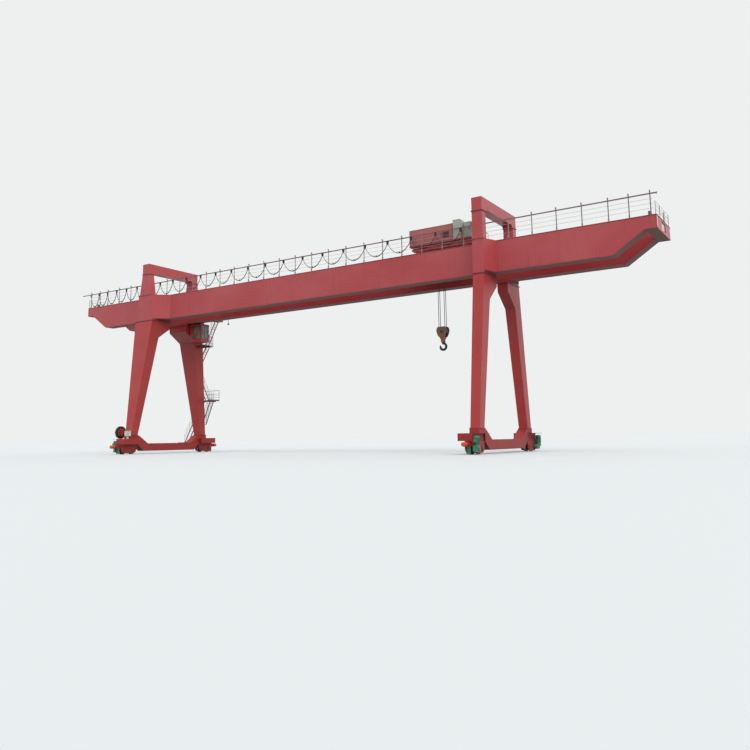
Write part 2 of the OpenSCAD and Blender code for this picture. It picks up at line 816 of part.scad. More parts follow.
module leg_stair_upper() {
    x_mid = rigid_x - 320;
    color(dark_red)
        difference() {
            union() {
                stair_x(rigid_x + 470, lower_level, x_mid, middle_level - floor_plate, inner_lane, inner_lane + stair_width);
                platform([x_mid - 440, inner_lane - 180, middle_level], [x_mid, inner_lane + 450, middle_level]);
                platform([x_mid - 440, inner_lane - 270, middle_level], [rigid_x + 200, inner_lane - 90, middle_level]);
                stair_x(x_mid - 90, middle_level, rigid_x + 470, upper_level - floor_plate, inner_lane - 80, inner_lane + 160);
            }
            far_rigid_cutter();
        }
}

module leg_landing_upper() {
    x_in = rigid_x + 480;
    color(dark_red)
        difference() {
            union() {
                platform([x_in, 1780, upper_level], [x_in + 280, 2340, upper_level]);
                platform([cab_x0, cab_y1, upper_level], [cab_x0 + 420, 2050, upper_level]);
                for (y = [cab_y1 + 120, 1780])
                    box([rigid_x + 100, y, upper_level - floor_plate - 80], [cab_x0 + 420, y + 60, upper_level - floor_plate]);
                landing_rail(x_in + 10, x_in + 270, 2328, upper_level);
                landing_rail_y(cab_y1 + 24, 1768, cab_x0 + 408, upper_level);
            }
            far_rigid_cutter();
        }
}

// Operator's cab hung under the far girder, with window openings on three sides
module cab_shell() {
    color(red)
        difference() {
            union() {
                box([cab_x0, cab_y0, cab_z0], [cab_x1, cab_y1, cab_z1]);
                for (x = [cab_x0 + 40, cab_x1 - 100])
                    box([x, cab_y0 + 30, cab_z1], [x + 60, web_outer, girder_bottom]);
                box([cab_x0 - 10, cab_y0 - 10, cab_z0 - 12], [cab_x1 + 10, cab_y1 + 10, cab_z0]);
            }
            box([cab_x0 + cab_wall, cab_y0 + cab_wall, cab_z0 + 30], [cab_x1 - cab_wall, cab_y1 - cab_wall, cab_z1 - 30]);
            cab_window([cab_x0 + cab_panel, cab_y0 - 1], [cab_x1 - 60, cab_y0 + cab_wall + 1], window_sill);
            cab_window([cab_x1 - cab_wall - 1, cab_y0 + 60], [cab_x1 + 1, cab_y1 - 60], window_sill);
            cab_window([cab_x0 + 400, cab_y1 - cab_wall - 1], [cab_x1 - 60, cab_y1 + 1], window_sill);
            cab_window([cab_x0 + 70, cab_y1 - cab_wall - 1], [cab_x0 + 350, cab_y1 + 1], 40);
        }
}

// One opening in a cab wall, from a height above the floor to below the roof
module cab_window(a, b, low) {
    box([a[0], a[1], cab_z0 + low], [b[0], b[1], cab_z1 - 80]);
}

module cab_glass() {
    t = 6;
    color(dark) {
        cab_window([cab_x0 + cab_panel, cab_y0 + t], [cab_x1 - 60, cab_y0 + 2 * t], window_sill);
        cab_window([cab_x1 - 2 * t, cab_y0 + 60], [cab_x1 - t, cab_y1 - 60], window_sill);
        cab_window([cab_x0 + 400, cab_y1 - 2 * t], [cab_x1 - 60, cab_y1 - t], window_sill);
    }
}

// Steep stair from the upper landing to the girder, and a ladder up its web
module cab_ladder() {
    x_top = rigid_x + 1365;
    x_lad = x_top + 90;
    color(dark_red) {
        stair_x(rigid_x + 690, upper_level, x_top, walk_level - floor_plate, 1790, 1790 + 250);
        platform([x_top, web_outer, walk_level], [x_top + 380, 2050, walk_level]);
        landing_rail_y(web_outer + 20, 2030, x_top + 368, walk_level);
        for (x = [x_lad, x_lad + 200])
            box([x, web_outer + 40, walk_level], [x + 12, web_outer + 70, girder_top + handrail_height]);
        for (i = [1:12])
            box([x_lad + 6, web_outer + 48, walk_level + i * tread_step], [x_lad + 206, web_outer + 62, walk_level + i * tread_step + 12]);
        for (z = [walk_level + 300, girder_top - 120])
            for (x = [x_lad, x_lad + 200])
                box([x, web_outer, z], [x + 12, web_outer + 40, z + 40]);
    }
}

module cable_reel() {
    color(red)
        translate([reel_x, reel_y, reel_z])
            rotate([0, 90, 0])
                rotate_extrude()
                    polygon([[axle_radius, 0], [reel_radius, 0], [reel_radius, 10], [130, 16], [130, 94], [reel_radius, 100],
                        [reel_radius, 110], [axle_radius, 110]]);
}

// Arm and pin that carry the cable reel on the leg
module reel_arm() {
    color(dark_red)
        difference() {
            union() {
                translate([reel_x - 20, reel_y, reel_z])
                    rotate([0, 90, 0])
                        cylinder(h = 200, r = axle_radius - run_gap);
                box([reel_x + 130, reel_y - 60, reel_z - 60], [rigid_x - 150, reel_y + 60, reel_z + 60]);
                box([reel_x + 130, reel_y - 110, reel_z - 110], [reel_x + 330, reel_y + 110, reel_z + 110]);
            }
            leg_box(rigid_x, rigid_haunch, rigid_half_foot, rigid_half_top, seat_gap);
        }
}

// Control box on a post on the head box
module control_box() {
    y0 = -max(sill_end + 190, foot_outer + 255);
    color(grey) {
        box([rigid_x + 40, y0, control_z], [rigid_x + 320, y0 + 150, control_z + 240]);
        box([rigid_x + 145, y0 + 40, head_box_top], [rigid_x + 215, y0 + 110, control_z]);
    }
}

// Frame of the trolley with its wheels, the rope drum and the arm that tows the cable
module trolley_frame() {
    x0 = trolley_left;
    x1 = trolley_right;
    deck = frame_top - floor_plate;
    drum_r = fall_x - rope_radius;
    wheel_z = girder_top + rail_height + trolley_wheel;
    arm_y = -cable_y + carrier_half + seat_gap;
    color(red) {
        box([x0, -deck_half, deck], [x1, deck_half, frame_top]);
        for (s = [-1, 1]) {
            box([x0 + 60, s * (trolley_gauge - 75), frame_under], [x1 - 60, s * (trolley_gauge + 75), deck]);
            for (x = [x0 + 260, x1 - 350])
                translate([x, s * trolley_gauge - 35, wheel_z])
                    rotate([-90, 0, 0])
                        cylinder(h = 70, r = trolley_wheel);
            box([hook_x - 160, s * (drum_half + 10) - 10, drum_z - 90], [hook_x + 160, s * (drum_half + 10) + 10, deck]);
        }
        for (x = [x0 + 60, hook_x - 400, hook_x + 500, x1 - 180])
            box([x, -trolley_gauge, frame_under + 50], [x + 120, trolley_gauge, deck]);
        translate([hook_x, drum_half + 20, drum_z])
            rotate([90, 0, 0])
                cylinder(h = 2 * drum_half + 40, r = drum_r);
        box([tow_x, -deck_half - 30, deck - 40], [tow_x + tow_width, -deck_half, rail_z - 60]);
        box([tow_x, arm_y, rail_z - 110], [tow_x + tow_width, -deck_half - 30, rail_z - 60]);
    }
}

module hoist_housing() {
    x0 = trolley_left - 78;
    length = 1920;
    top = frame_top + housing_height;
    color(red) {
        box([x0, -760, frame_top], [x0 + length, 500, top - 12]);
        box([x0 - 12, -772, top - 12], [x0 + length + 12, 512, top]);
    }
}

module electric_cabinets() {
    x0 = trolley_left + 1900;
    top = frame_top + cabinet_height;
    low_top = frame_top + low_cabinet_height;
    color(grey) {
        pull_y(-850, -450, [[x0, frame_top], [x0 + 425, frame_top], [x0 + 425, top - 150], [x0 + 300, top], [x0, top]]);
        box([x0 + 465, -850, frame_top], [x0 + 750, -300, low_top]);
    }
}

module hoist_ropes() {
    color(dark)
        for (sx = [-1, 1])
            for (sy = [-1, 1])
                translate([hook_x + sx * fall_x, sy * fall_y, block_top])
                    cylinder(h = drum_z - block_top, r = rope_radius, $fn = 24);
}

// Hook block: two cheeks, rope guard on top, four grooved sheaves and the cross head
module hook_block() {
    sheave_z = block_top - 190;
    color(orange) {
        for (y0 = [-130, 110])
            pull_y(y0, y0 + 20, [for (p = [[95, 190], [150, 225], [205, 355], [228, 460], [210, 545], [165, 605],
                [-165, 605], [-210, 545], [-228, 460], [-205, 355], [-150, 225], [-95, 190]])
                [hook_x + p[0], block_under + p[1]]]);
        box([hook_x - 150, -110, block_top - 40], [hook_x + 150, 110, block_top]);
        translate([hook_x, 0, block_under])
            cylinder(h = 150, r = 95);
        box([hook_x - 90, -110, block_under + 130], [hook_x + 90, 110, block_under + 215]);
    }
    color(dark) {
        for (y = [-fall_y, fall_y])
            translate([hook_x, y, sheave_z])
                rotate([-90, 0, 0])
                    rotate_extrude()
                        polygon([[20, -26], [180, -26], [180, -18], [142, -7], [142, 7], [180, 18], [180, 26], [20, 26]]);
        translate([hook_x, -138, sheave_z])
            rotate([-90, 0, 0])
                cylinder(h = 276, r = 34);
    }
}

// Point hook: shank, neck, bowl and a tapered tip
module hook() {
    r = hook_thick / 2;
    bowl = 126;
    z = hook_tip + r + bowl;
    color(dark)
        translate([hook_x, 0, z])
            mirror([1, 0, 0]) {
                rotate([90, 0, 0])
                    rotate([0, 0, 90])
                        rotate_extrude(angle = 250)
                            translate([bowl, 0])
                                circle(r = r);
                translate([bowl * cos(20) - 3, 0, -bowl * sin(20) - 6])
                    rotate([0, 12, 0])
                        cylinder(h = 105, r1 = r - 1.5, r2 = 18);
                translate([0, 0, bowl])
                    sphere(r = r + 2);
                translate([0, 0, bowl])
                    cylinder(h = block_under - z - bowl, r = r - 6);
            }
}

near_girder();
far_girder();
left_end_tie();
right_end_tie();
trolley_rails();
near_rigid_leg();
far_rigid_leg();
near_flex_leg();
far_flex_leg();
rigid_saddle();
flex_saddle();
rigid_sill_beam();
flex_sill_beam();
near_rigid_truck();
far_rigid_truck();
near_flex_truck();
far_flex_truck();
near_rigid_wheel_outer();
near_rigid_wheel_inner();
far_rigid_wheel_outer();
far_rigid_wheel_inner();
near_flex_wheel_outer();
near_flex_wheel_inner();
far_flex_wheel_outer();
far_flex_wheel_inner();
near_rigid_drive();
far_rigid_drive();
near_flex_drive();
far_flex_drive();
near_walkway_rail();
far_walkway_rail();
festoon_cable();
leg_stair_lower();
leg_stair_upper();
leg_landing_lower();
leg_landing_upper();
cab_shell();
cab_glass();
cab_ladder();
cable_reel();
reel_arm();
control_box();
trolley_frame();
hoist_housing();
electric_cabinets();
hoist_ropes();
hook_block();
hook();
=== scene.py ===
"""Finishes the rail mounted gantry crane: paint, rails, bolts, ropes, cables, cab, stairs and stage."""

import math

import bmesh
import bpy
import numpy as np
from bpy.props import FloatProperty, FloatVectorProperty, IntProperty, PointerProperty
from mathutils import Matrix, Vector


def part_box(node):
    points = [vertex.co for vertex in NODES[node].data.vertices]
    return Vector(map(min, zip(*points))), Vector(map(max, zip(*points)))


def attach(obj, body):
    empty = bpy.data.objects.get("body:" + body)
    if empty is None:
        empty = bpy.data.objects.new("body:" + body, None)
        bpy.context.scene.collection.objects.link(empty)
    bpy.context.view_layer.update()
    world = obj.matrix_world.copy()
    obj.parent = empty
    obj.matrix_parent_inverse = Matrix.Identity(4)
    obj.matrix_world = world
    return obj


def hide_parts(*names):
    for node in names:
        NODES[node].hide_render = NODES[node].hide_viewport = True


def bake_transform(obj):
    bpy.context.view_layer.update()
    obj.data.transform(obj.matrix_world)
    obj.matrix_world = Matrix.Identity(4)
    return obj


bl_info = {
    "name": "Gantry crane finish",
    "version": (1, 0, 0),
    "blender": (4, 5, 0),
    "location": "View3D > Sidebar > Crane",
    "description": "Finishes a rail mounted double girder gantry crane, a 1:2 scale model",
    "category": "Object",
}

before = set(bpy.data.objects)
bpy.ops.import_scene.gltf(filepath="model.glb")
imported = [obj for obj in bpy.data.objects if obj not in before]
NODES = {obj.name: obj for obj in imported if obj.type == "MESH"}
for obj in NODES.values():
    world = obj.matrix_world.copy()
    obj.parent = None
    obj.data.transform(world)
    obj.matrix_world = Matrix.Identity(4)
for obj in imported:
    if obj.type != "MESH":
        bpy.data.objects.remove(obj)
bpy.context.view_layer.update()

# Lines of the crane that its pieces share, in metres
GIRDER_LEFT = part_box("near_girder")[0].x
GIRDER_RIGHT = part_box("near_girder")[1].x
GIRDER_TOP = 7.755
GIRDER_BOTTOM = 6.565
WEB_INNER = 0.565
WEB_OUTER = 1.03
RIGID_X = -9.165
FLEX_X = 8.835
RAIL_Y = 0.64
DECK_TOP = 8.105
HOOK_X = 6.47
BLOCK_LOW, BLOCK_HIGH = (corner.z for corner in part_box("hook_block"))

# Handrails and the rail of the festoon cable
POST_Y = 1.012
CABLE_Y = 0.962
CABLE_RAIL_Z = 8.49
CABLE_RAIL_HALF = 15.01
BAR_HEIGHTS = np.array([0.218, 0.3815, 0.545])
FAR_POST = 0.56
END_INSET = 0.06
END_RAIL_INSET = 0.026
END_RAIL_SHARE = 0.81
CABLE_LEFT = -14.315
CABLE_RIGHT = 7.837
HANG_Z = 8.40

# Rope falls and drum
FALL_X = 0.13
FALL_Y = 0.07
DRUM_Z = 7.925
DRUM_HALF = 0.24

# End trucks
TRUCK_Y = 2.48
WHEEL_BASE = 0.51
AXLE_Z = 0.18
BUFFER_Z = 0.345
MOTOR_Y = 2.9

# Cab
CAB_X0, CAB_X1 = -8.524, -7.724
CAB_Y0, CAB_Y1 = 0.775, 1.335
CAB_Z0, CAB_Z1 = 5.59, 6.49


def linear(code):
    """Linear colour of an sRGB hex code, by the usual power curve with its straight start."""
    parts = [int(code[i:i + 2], 16) / 255 for i in (1, 3, 5)]
    return tuple(c / 12.92 if c <= 0.04045 else ((c + 0.055) / 1.055) ** 2.4 for c in parts)


class CraneSizes(bpy.types.PropertyGroup):
    """Sizes of the pieces that are added to the bare crane."""

    rope_radius: FloatProperty(
        name="Rope radius", description="Radius of one hoist rope", default=0.0125, unit="LENGTH")
    cable_width: FloatProperty(
        name="Cable width", description="Width of a flat festoon cable", default=0.016, unit="LENGTH")
    loops: IntProperty(name="Cable loops", description="Loops of the festoon cable", default=23, min=2)
    loop_length: FloatProperty(
        name="Loop length", description="Cable between two carriers", default=1.564, unit="LENGTH")
    post_pitch: FloatProperty(
        name="Post pitch", description="Distance of the handrail posts", default=0.905, unit="LENGTH")
    bar_radius: FloatProperty(
        name="Handrail radius", description="Radius of the handrail bars", default=0.005, unit="LENGTH")
    bolt: FloatProperty(
        name="Bolt head", description="Radius of the flange bolt heads", default=0.009, unit="LENGTH")
    clip_pitch: FloatProperty(
        name="Rail clip pitch", description="Distance of the rail clips", default=0.45, unit="LENGTH")


class CraneColours(bpy.types.PropertyGroup):
    """Paint colours of the crane, linear."""

    red: FloatVectorProperty(
        name="Red enamel", description="Girders and saddles", subtype="COLOR", size=3,
        default=linear("#a8363b"))
    faded: FloatVectorProperty(
        name="Faded red", description="Bleached patches of the red", subtype="COLOR", size=3,
        default=linear("#b24a4c"))
    green: FloatVectorProperty(
        name="Green enamel", description="Motors and rail guards", subtype="COLOR", size=3,
        default=linear("#2f7358"))
    orange: FloatVectorProperty(
        name="Orange enamel", description="Hook block", subtype="COLOR", size=3, default=linear("#cf5531"))


# Surfaces as arrays


class Shape:
    """Vertices and faces that grow as surfaces are added to them."""

    def __init__(self):
        self.points = []
        self.corners = []
        self.sizes = []
        self.count = 0

    def add(self, points, faces):
        """Adds points (n, 3) and a list of face arrays (m, k)."""
        self.points.append(np.asarray(points, float).reshape(-1, 3))
        for f in faces:
            f = np.asarray(f, int)
            self.corners.append((f + self.count).ravel())
            self.sizes.append(np.full(len(f), f.shape[1]))
        self.count += len(self.points[-1])
        return self

    def stamp(self, other, places=(0, 0, 0), turns=None):
        """Adds another shape at every place; turns holds one rotation matrix, or one for each copy."""
        base = np.concatenate(other.points)
        places = np.asarray(places, float).reshape(-1, 3)
        turns = np.eye(3)[None] if turns is None else np.asarray(turns, float).reshape(-1, 3, 3)
        copies = max(len(places), len(turns))
        turned = np.einsum("kij,nj->kni", np.broadcast_to(turns, (copies, 3, 3)), base)
        points = turned + np.broadcast_to(places, (copies, 3))[:, None]
        step = (np.arange(copies) * len(base))[:, None]
        self.points.append(points.reshape(-1, 3))
        self.corners.append((np.concatenate(other.corners)[None] + step + self.count).ravel())
        self.sizes.append(np.tile(np.concatenate(other.sizes), copies))
        self.count += copies * len(base)
        return self

    def join(self, *others):
        """Adds other shapes where they are."""
        for other in others:
            self.stamp(other)
        return self


def grid(points, around=True, caps=True):
    """Shape of a grid (rings, sides, 3): quads between its rings, and a face on each end."""
    rings, sides = points.shape[:2]
    i = np.arange(rings - 1)[:, None] * sides
    j = np.arange(sides if around else sides - 1)[None, :]
    k = (j + 1) % sides
    faces = [np.stack([i + j, i + k, i + k + sides, i + j + sides], -1).reshape(-1, 4)]
    if caps and around:
        end = np.arange(sides)[None, :]
        faces += [end[:, ::-1], end + (rings - 1) * sides]
    return Shape().add(points, faces)


def ring(radius, sides, start=0.0):
    """Points (sides, 2) of a circle: radius times cosine and sine of an even angle."""
    a = np.arange(sides) * 2 * math.pi / sides + start
    return np.stack([radius * np.cos(a), radius * np.sin(a)], -1)


def spots(xs, ys, zs):
    """Every point that has one of these X, one of these Y and one of these Z."""
    return np.stack(np.meshgrid(xs, ys, zs, indexing="ij"), -1).reshape(-1, 3)


def along(path, section, up=(0, 0, 1), caps=True, closed=False):
    """A flat section (sides, 2) carried along a path, square to it, with its second axis near up."""
    path = np.asarray(path, float)
    tangent = np.roll(path, -1, 0) - np.roll(path, 1, 0) if closed else np.gradient(path, axis=0)
    tangent /= np.linalg.norm(tangent, axis=1, keepdims=True)
    side = np.cross(tangent, np.asarray(up, float))
    side /= np.linalg.norm(side, axis=1, keepdims=True)
    rise = np.cross(side, tangent)
    section = np.broadcast_to(section, (len(path), *np.shape(section)[-2:]))
    points = path[:, None] + section[..., :1] * side[:, None] + section[..., 1:] * rise[:, None]
    if closed:
        points = np.concatenate([points, points[:1]])
    return grid(points, caps=caps and not closed)


def tube(a, b, radius, sides=12):
    """Straight round bar between two points: the same circle carried from one to the other."""
    path = np.array([a, b], float)
    run = path[1] - path[0]
    upright = abs(run[2]) > 0.9 * np.linalg.norm(run)
    return along(path, ring(radius, sides), up=(1, 0, 0) if upright else (0, 0, 1))


def bent_tube(points, radius, sides=12, bend=0.05, up=(0, 0, 1)):
    """Round bar through corner points, each rounded by a quadratic curve that starts a bend away."""
    points = np.asarray(points, float)
    u = np.linspace(0, 1, 6)[:, None]
    runs = [points[:1]]
    for a, b, c in zip(points[:-2], points[1:-1], points[2:]):
        p = b + (a - b) / np.linalg.norm(a - b) * bend
        q = b + (c - b) / np.linalg.norm(c - b) * bend
        runs.append((1 - u) ** 2 * p + 2 * u * (1 - u) * b + u ** 2 * q)
    runs.append(points[-1:])
    return along(np.concatenate(runs), ring(radius, sides), up=up)


def hoop(centre, radius, thickness, steps):
    """Round bar bent into a full circle that lies square to X."""
    path = np.c_[np.full(steps, centre[0]), np.array(centre)[1:] + ring(radius, steps)]
    return along(path, ring(thickness, 8), up=(1, 0, 0), closed=True)


def lathe(profile, centre, axis, sides=32):
    """A profile of (distance along the axis, radius) turned round the axis through the centre."""
    profile = np.asarray(profile, float)
    a = np.arange(sides) * 2 * math.pi / sides
    axis = np.asarray(axis, float) / np.linalg.norm(axis)
    side = np.cross(axis, (0.0, 0.0, 1.0) if abs(axis[2]) < 0.9 else (1.0, 0.0, 0.0))
    side /= np.linalg.norm(side)
    spoke = np.cos(a)[:, None] * side + np.sin(a)[:, None] * np.cross(axis, side)
    return grid(np.asarray(centre) + profile[:, None, :1] * axis + profile[:, None, 1:] * spoke)


def block(one, other, chamfer):
    """Box between two opposite corners, with its edges cut by the chamfer."""
    low, high = np.sort(np.array([one, other], float), axis=0)
    c = min(chamfer, *(high - low) / 3)
    (x0, y0, z0), (x1, y1, z1) = low, high
    mid = np.array([[x0 + c, y0], [x1 - c, y0], [x1, y0 + c], [x1, y1 - c], [x1 - c, y1], [x0 + c, y1],
                    [x0, y1 - c], [x0, y0 + c]])
    centre = (low + high)[:2] / 2
    half = (high - low)[:2] / 2
    inner = centre + (mid - centre) * (half - c) / half
    rows = [(inner, z0), (mid, z0 + c), (mid, z1 - c), (inner, z1)]
    return grid(np.stack([np.c_[flat, np.full(8, z)] for flat, z in rows]))


def blocks(lows, highs):
    """Many plain boxes at once, from arrays of their lowest and highest corners."""
    lows = np.asarray(lows, float)
    highs = np.asarray(highs, float)
    pick = np.array([[i & 1, i >> 1 & 1, i >> 2 & 1] for i in range(8)])
    points = lows[:, None] + (highs - lows)[:, None] * pick
    face = np.array([[0, 2, 3, 1], [4, 5, 7, 6], [0, 1, 5, 4], [2, 6, 7, 3], [0, 4, 6, 2], [1, 3, 7, 5]])
    faces = (np.arange(len(lows))[:, None, None] * 8 + face).reshape(-1, 4)
    return Shape().add(points, [faces])


def merged(*shapes):
    """One shape from several."""
    return Shape().join(*shapes)


def facing(axis):
    """Rotation that turns +Z onto the given axis."""
    return np.array(Vector((0, 0, 1)).rotation_difference(Vector(axis)).to_matrix())


def round_turns(count):
    """Rotations about Z by even shares of a full turn."""
    cos, sin = ring(1.0, count).T
    zero = np.zeros(count)
    return np.stack([cos, -sin, zero, sin, cos, zero, zero, zero, zero + 1], -1).reshape(-1, 3, 3)


def hex_bolt(radius):
    """Washer and six sided head with a crowned top, standing on Z = 0."""
    profile = radius * np.array([[0, 1.25], [0.2, 1.25], [0.2, 1], [0.75, 1], [0.9, 0.8]])
    spoke = np.c_[ring(1.0, 6), np.zeros(6)]
    return grid(profile[:, None, 1:] * spoke + profile[:, None, :1] * np.array([0, 0, 1.0]))


def bolt_ring(centre, axis, radius, count, bolt, start=0.0):
    """Bolts on a circle round a centre, with their heads out along the axis."""
    places = np.tile(np.array(centre, float), (count, 1))
    places[:, [i for i in range(3) if not axis[i]]] += ring(radius, count, start)
    return Shape().stamp(hex_bolt(bolt), places, facing(axis))


# The record's slot that each finish belongs to
SLOT_FINISHES = {
    "red_paint": ("red_enamel", "pink_enamel", "joint_enamel", "housing_enamel"),
    "dark_red_paint": ("shaded_truck_enamel", "brown_enamel"),
    "steel_dark": ("dark_steel", "bolt_steel", "bright_steel", "forged_steel", "rope"),
    "rail_paint": ("post_enamel", "rail_enamel", "tube_steel"),
    "cable_black": ("cable_sheath", "seal", "seat_vinyl"),
    "grey_paint": ("grey_enamel", "pale_enamel"),
    "green_paint": ("green_enamel",),
    "orange_paint": ("buffer",),
    "cab_window": ("lamp_glass",),
}
SLOTS = {finish: slot for slot, finishes in SLOT_FINISHES.items() for finish in finishes}
MATERIALS = {}


def piece(name, shape, finish, body="gantry", slot=None, smooth=40.0, bevel=0.0, replaces=(), ride=True):
    """Mesh object of a shape, its faces turned outwards, in a finish, riding on a body."""
    points = np.concatenate(shape.points)
    corners = np.concatenate(shape.corners)
    sizes = np.concatenate(shape.sizes)
    mesh = bpy.data.meshes.new(name)
    mesh.vertices.add(len(points))
    mesh.vertices.foreach_set("co", points.ravel())
    mesh.loops.add(len(corners))
    mesh.loops.foreach_set("vertex_index", corners.astype(np.int32))
    mesh.polygons.add(len(sizes))
    mesh.polygons.foreach_set("loop_start", np.r_[0, np.cumsum(sizes)[:-1]].astype(np.int32))
    mesh.update(calc_edges=True)
    mesh.validate()
    work = bmesh.new()
    work.from_mesh(mesh)
    bmesh.ops.recalc_face_normals(work, faces=work.faces)
    work.to_mesh(mesh)
    work.free()
    if smooth:
        mesh.shade_smooth()
        mesh.set_sharp_from_angle(angle=math.radians(smooth))
    else:
        mesh.shade_flat()
    mesh.materials.append(MATERIALS[finish])
    obj = bpy.data.objects.new(name, mesh)
    bpy.context.scene.collection.objects.link(obj)
    if bevel:
        mod = obj.modifiers.new("Bevel", "BEVEL")
        mod.width = bevel
        mod.segments = 2
        mod.limit_method = "ANGLE"
        mod.harden_normals = False
    if ride:
        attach(obj, body)
    slot = slot or SLOTS.get(finish)
    if replaces:
        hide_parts(*replaces)
    return obj


# Materials


def plug(tree, node, values):
    """Gives a node's inputs, by name or number, their values or links them to sockets."""
    for key, value in values.items():
        if isinstance(value, bpy.types.NodeSocket):
            tree.links.new(value, node.inputs[key])
        else:
            node.inputs[key].default_value = value


def put(tree, kind, values=(), out=0, **settings):
    """Adds one node with its settings and inputs, a dictionary or a list in order; gives one output."""
    node = tree.nodes.new("ShaderNode" + kind)
    for key, value in settings.items():
        setattr(node, key, value)
    plug(tree, node, values if isinstance(values, dict) else dict(enumerate(values)))
    return node.outputs[out]


def rgba(colour):
    """Colour with full alpha, from a hex code or three linear parts."""
    return (*(linear(colour) if isinstance(colour, str) else colour), 1.0)


def cells(mm):
    """Texture scale that gives patches of this size in millimetres."""
    return 1000.0 / mm


def patchy(tree, coords, mm, detail=4.0, stretch=(1, 1, 1)):
    """Cloudy pattern with patches of a size in millimetres, drawn out along the axes by the stretch."""
    mapped = put(tree, "Mapping", {"Vector": coords, "Scale": tuple(1.0 / s for s in stretch)})
    return put(tree, "TexNoise", {"Vector": mapped, "Scale": cells(mm), "Detail": detail, "Roughness": 0.55})


def laid(tree, under, over, mask, low, high, top=1.0, bottom=0.0):
    """One colour laid over another, by a mask whose range low..high becomes a share bottom..top."""
    share = put(tree, "MapRange", (mask, low, high, bottom, top))
    a, b = (c if isinstance(c, bpy.types.NodeSocket) else rgba(c) for c in (under, over))
    return put(tree, "Mix", {0: share, 6: a, 7: b}, 2, data_type="RGBA")


def new_material(name):
    """Material with a shader and the object's own coordinates."""
    mat = bpy.data.materials.new(name)
    mat.use_nodes = True
    tree = mat.node_tree
    return mat, tree, tree.nodes["Principled BSDF"], put(tree, "TexCoord", out="Object")


def surface(tree, shader, colour, rough, height, strength, distance, others=None):
    """Gives the shader its colour, its roughness and a bump from a height, and other inputs."""
    bump = put(tree, "Bump", {"Height": height, "Strength": strength, "Distance": distance})
    plug(tree, shader, {"Base Color": colour, "Roughness": rough, "Normal": bump, **(others or {})})


def enamel(name, base, faded, dirt="#4a3431", dirt_share=0.25, rust=0.02, gloss=0.42, dust=None, underside_shade=None,
           chalked=0.2, coat=0.22):
    """Sprayed alkyd enamel: bleached patches, rain streaks, chalk, rust specks and rippled plates.

    The specks are drawn ten times too large, as real ones wouldn't show. Dust is the height up to which a
    brown film lies. The underside share lays a brown grey painted shade on faces that look down, which turn
    matt there.
    """
    mat, tree, shader, coords = new_material(name)
    patches = patchy(tree, coords, 1400, 5.0, (1.6, 1, 1))
    colour = laid(tree, base, faded, patches, 0.38, 0.68, 0.75)
    colour = laid(tree, colour, dirt, patchy(tree, coords, 90, 3.0, (1, 1, 12)), 0.55, 0.8, dirt_share)
    chalk = patchy(tree, coords, 18, 2.0)
    colour = laid(tree, colour, "#c98783", chalk, 0.55, 0.8, chalked)
    specks = put(tree, "TexVoronoi", {"Vector": coords, "Scale": cells(190)}, "Distance")
    ragged = put(tree, "Math", (patchy(tree, coords, 26), 0.12, specks), operation="MULTIPLY_ADD")
    colour = laid(tree, colour, "#6a3a22", ragged, 0.085 + rust, 0.07 + rust, 0.8)
    if dust:
        height = put(tree, "SeparateXYZ", (coords,), "Z")
        uneven = put(tree, "Math", (patches, -0.5, height), operation="MULTIPLY_ADD")
        colour = laid(tree, colour, "#5d473c", uneven, dust, -0.25, 0.3)
    rough = put(tree, "MapRange", (chalk, 0.3, 0.8, gloss - 0.06, gloss + 0.2))
    # Painted shade: faces that look down get a brown grey colour, and lose their gloss and coat
    if underside_shade:
        up = put(tree, "SeparateXYZ", (put(tree, "NewGeometry", out="Normal"),), "Z")
        colour = laid(tree, colour, "#957c79", up, -0.3, -0.75, underside_shade)
        matt = put(tree, "MapRange", (up, -0.3, -0.75, 0.0, 0.95))
        rough = put(tree, "Math", (rough, matt), operation="MAXIMUM")
        coat = put(tree, "MapRange", (up, -0.3, -0.7, coat, 0.0))
    relief = (patchy(tree, coords, 7, 2.0), 0.04, patchy(tree, coords, 650, 1.0))
    height = put(tree, "Math", relief, operation="MULTIPLY_ADD")
    surface(tree, shader, colour, rough, height, 0.22, 0.02,
            {"Coat Weight": coat, "Coat Roughness": 0.25, "Specular IOR Level": 0.4})
    return mat


def opened(mat):
    """Tree, shader, coordinates and colour of an enamel that gets a second colour."""
    tree = mat.node_tree
    shader = tree.nodes["Principled BSDF"]
    coords = tree.nodes["Texture Coordinate"].outputs["Object"]
    return tree, shader, coords, shader.inputs["Base Color"].links[0].from_socket


def shaded_truck_enamel(name, orange):
    """Dark red enamel whose darkness is painted shade, dusty near the ground, with orange on the buffers
    that stand out along Y.
    """
    mat = enamel(name, "#92201c", "#9a2a25", dirt_share=0.4, rust=0.035, gloss=0.5, dust=0.25, chalked=0.04,
                 coat=0.04)
    tree, shader, coords, colour = opened(mat)
    out = put(tree, "Math", (put(tree, "SeparateXYZ", (coords,), "Y"),), operation="ABSOLUTE")
    plug(tree, shader, {"Base Color": laid(tree, colour, orange, out, 3.215, 3.22)})
    return mat


def landing_enamel(name, floor):
    """Red brown enamel of a landing's plate, with the rails above its floor left in bare zinc grey."""
    mat = enamel(name, "#6f4443", "#7b5654", dirt_share=0.45, rust=0.035, gloss=0.5, coat=0.05)
    tree, shader, coords, colour = opened(mat)
    height = put(tree, "SeparateXYZ", (coords,), "Z")
    zinc = laid(tree, "#9ea2a1", "#b7bab9", patchy(tree, coords, 30), 0.35, 0.65)
    plug(tree, shader, {"Base Color": laid(tree, colour, zinc, height, floor + 0.01, floor + 0.012)})
    return mat


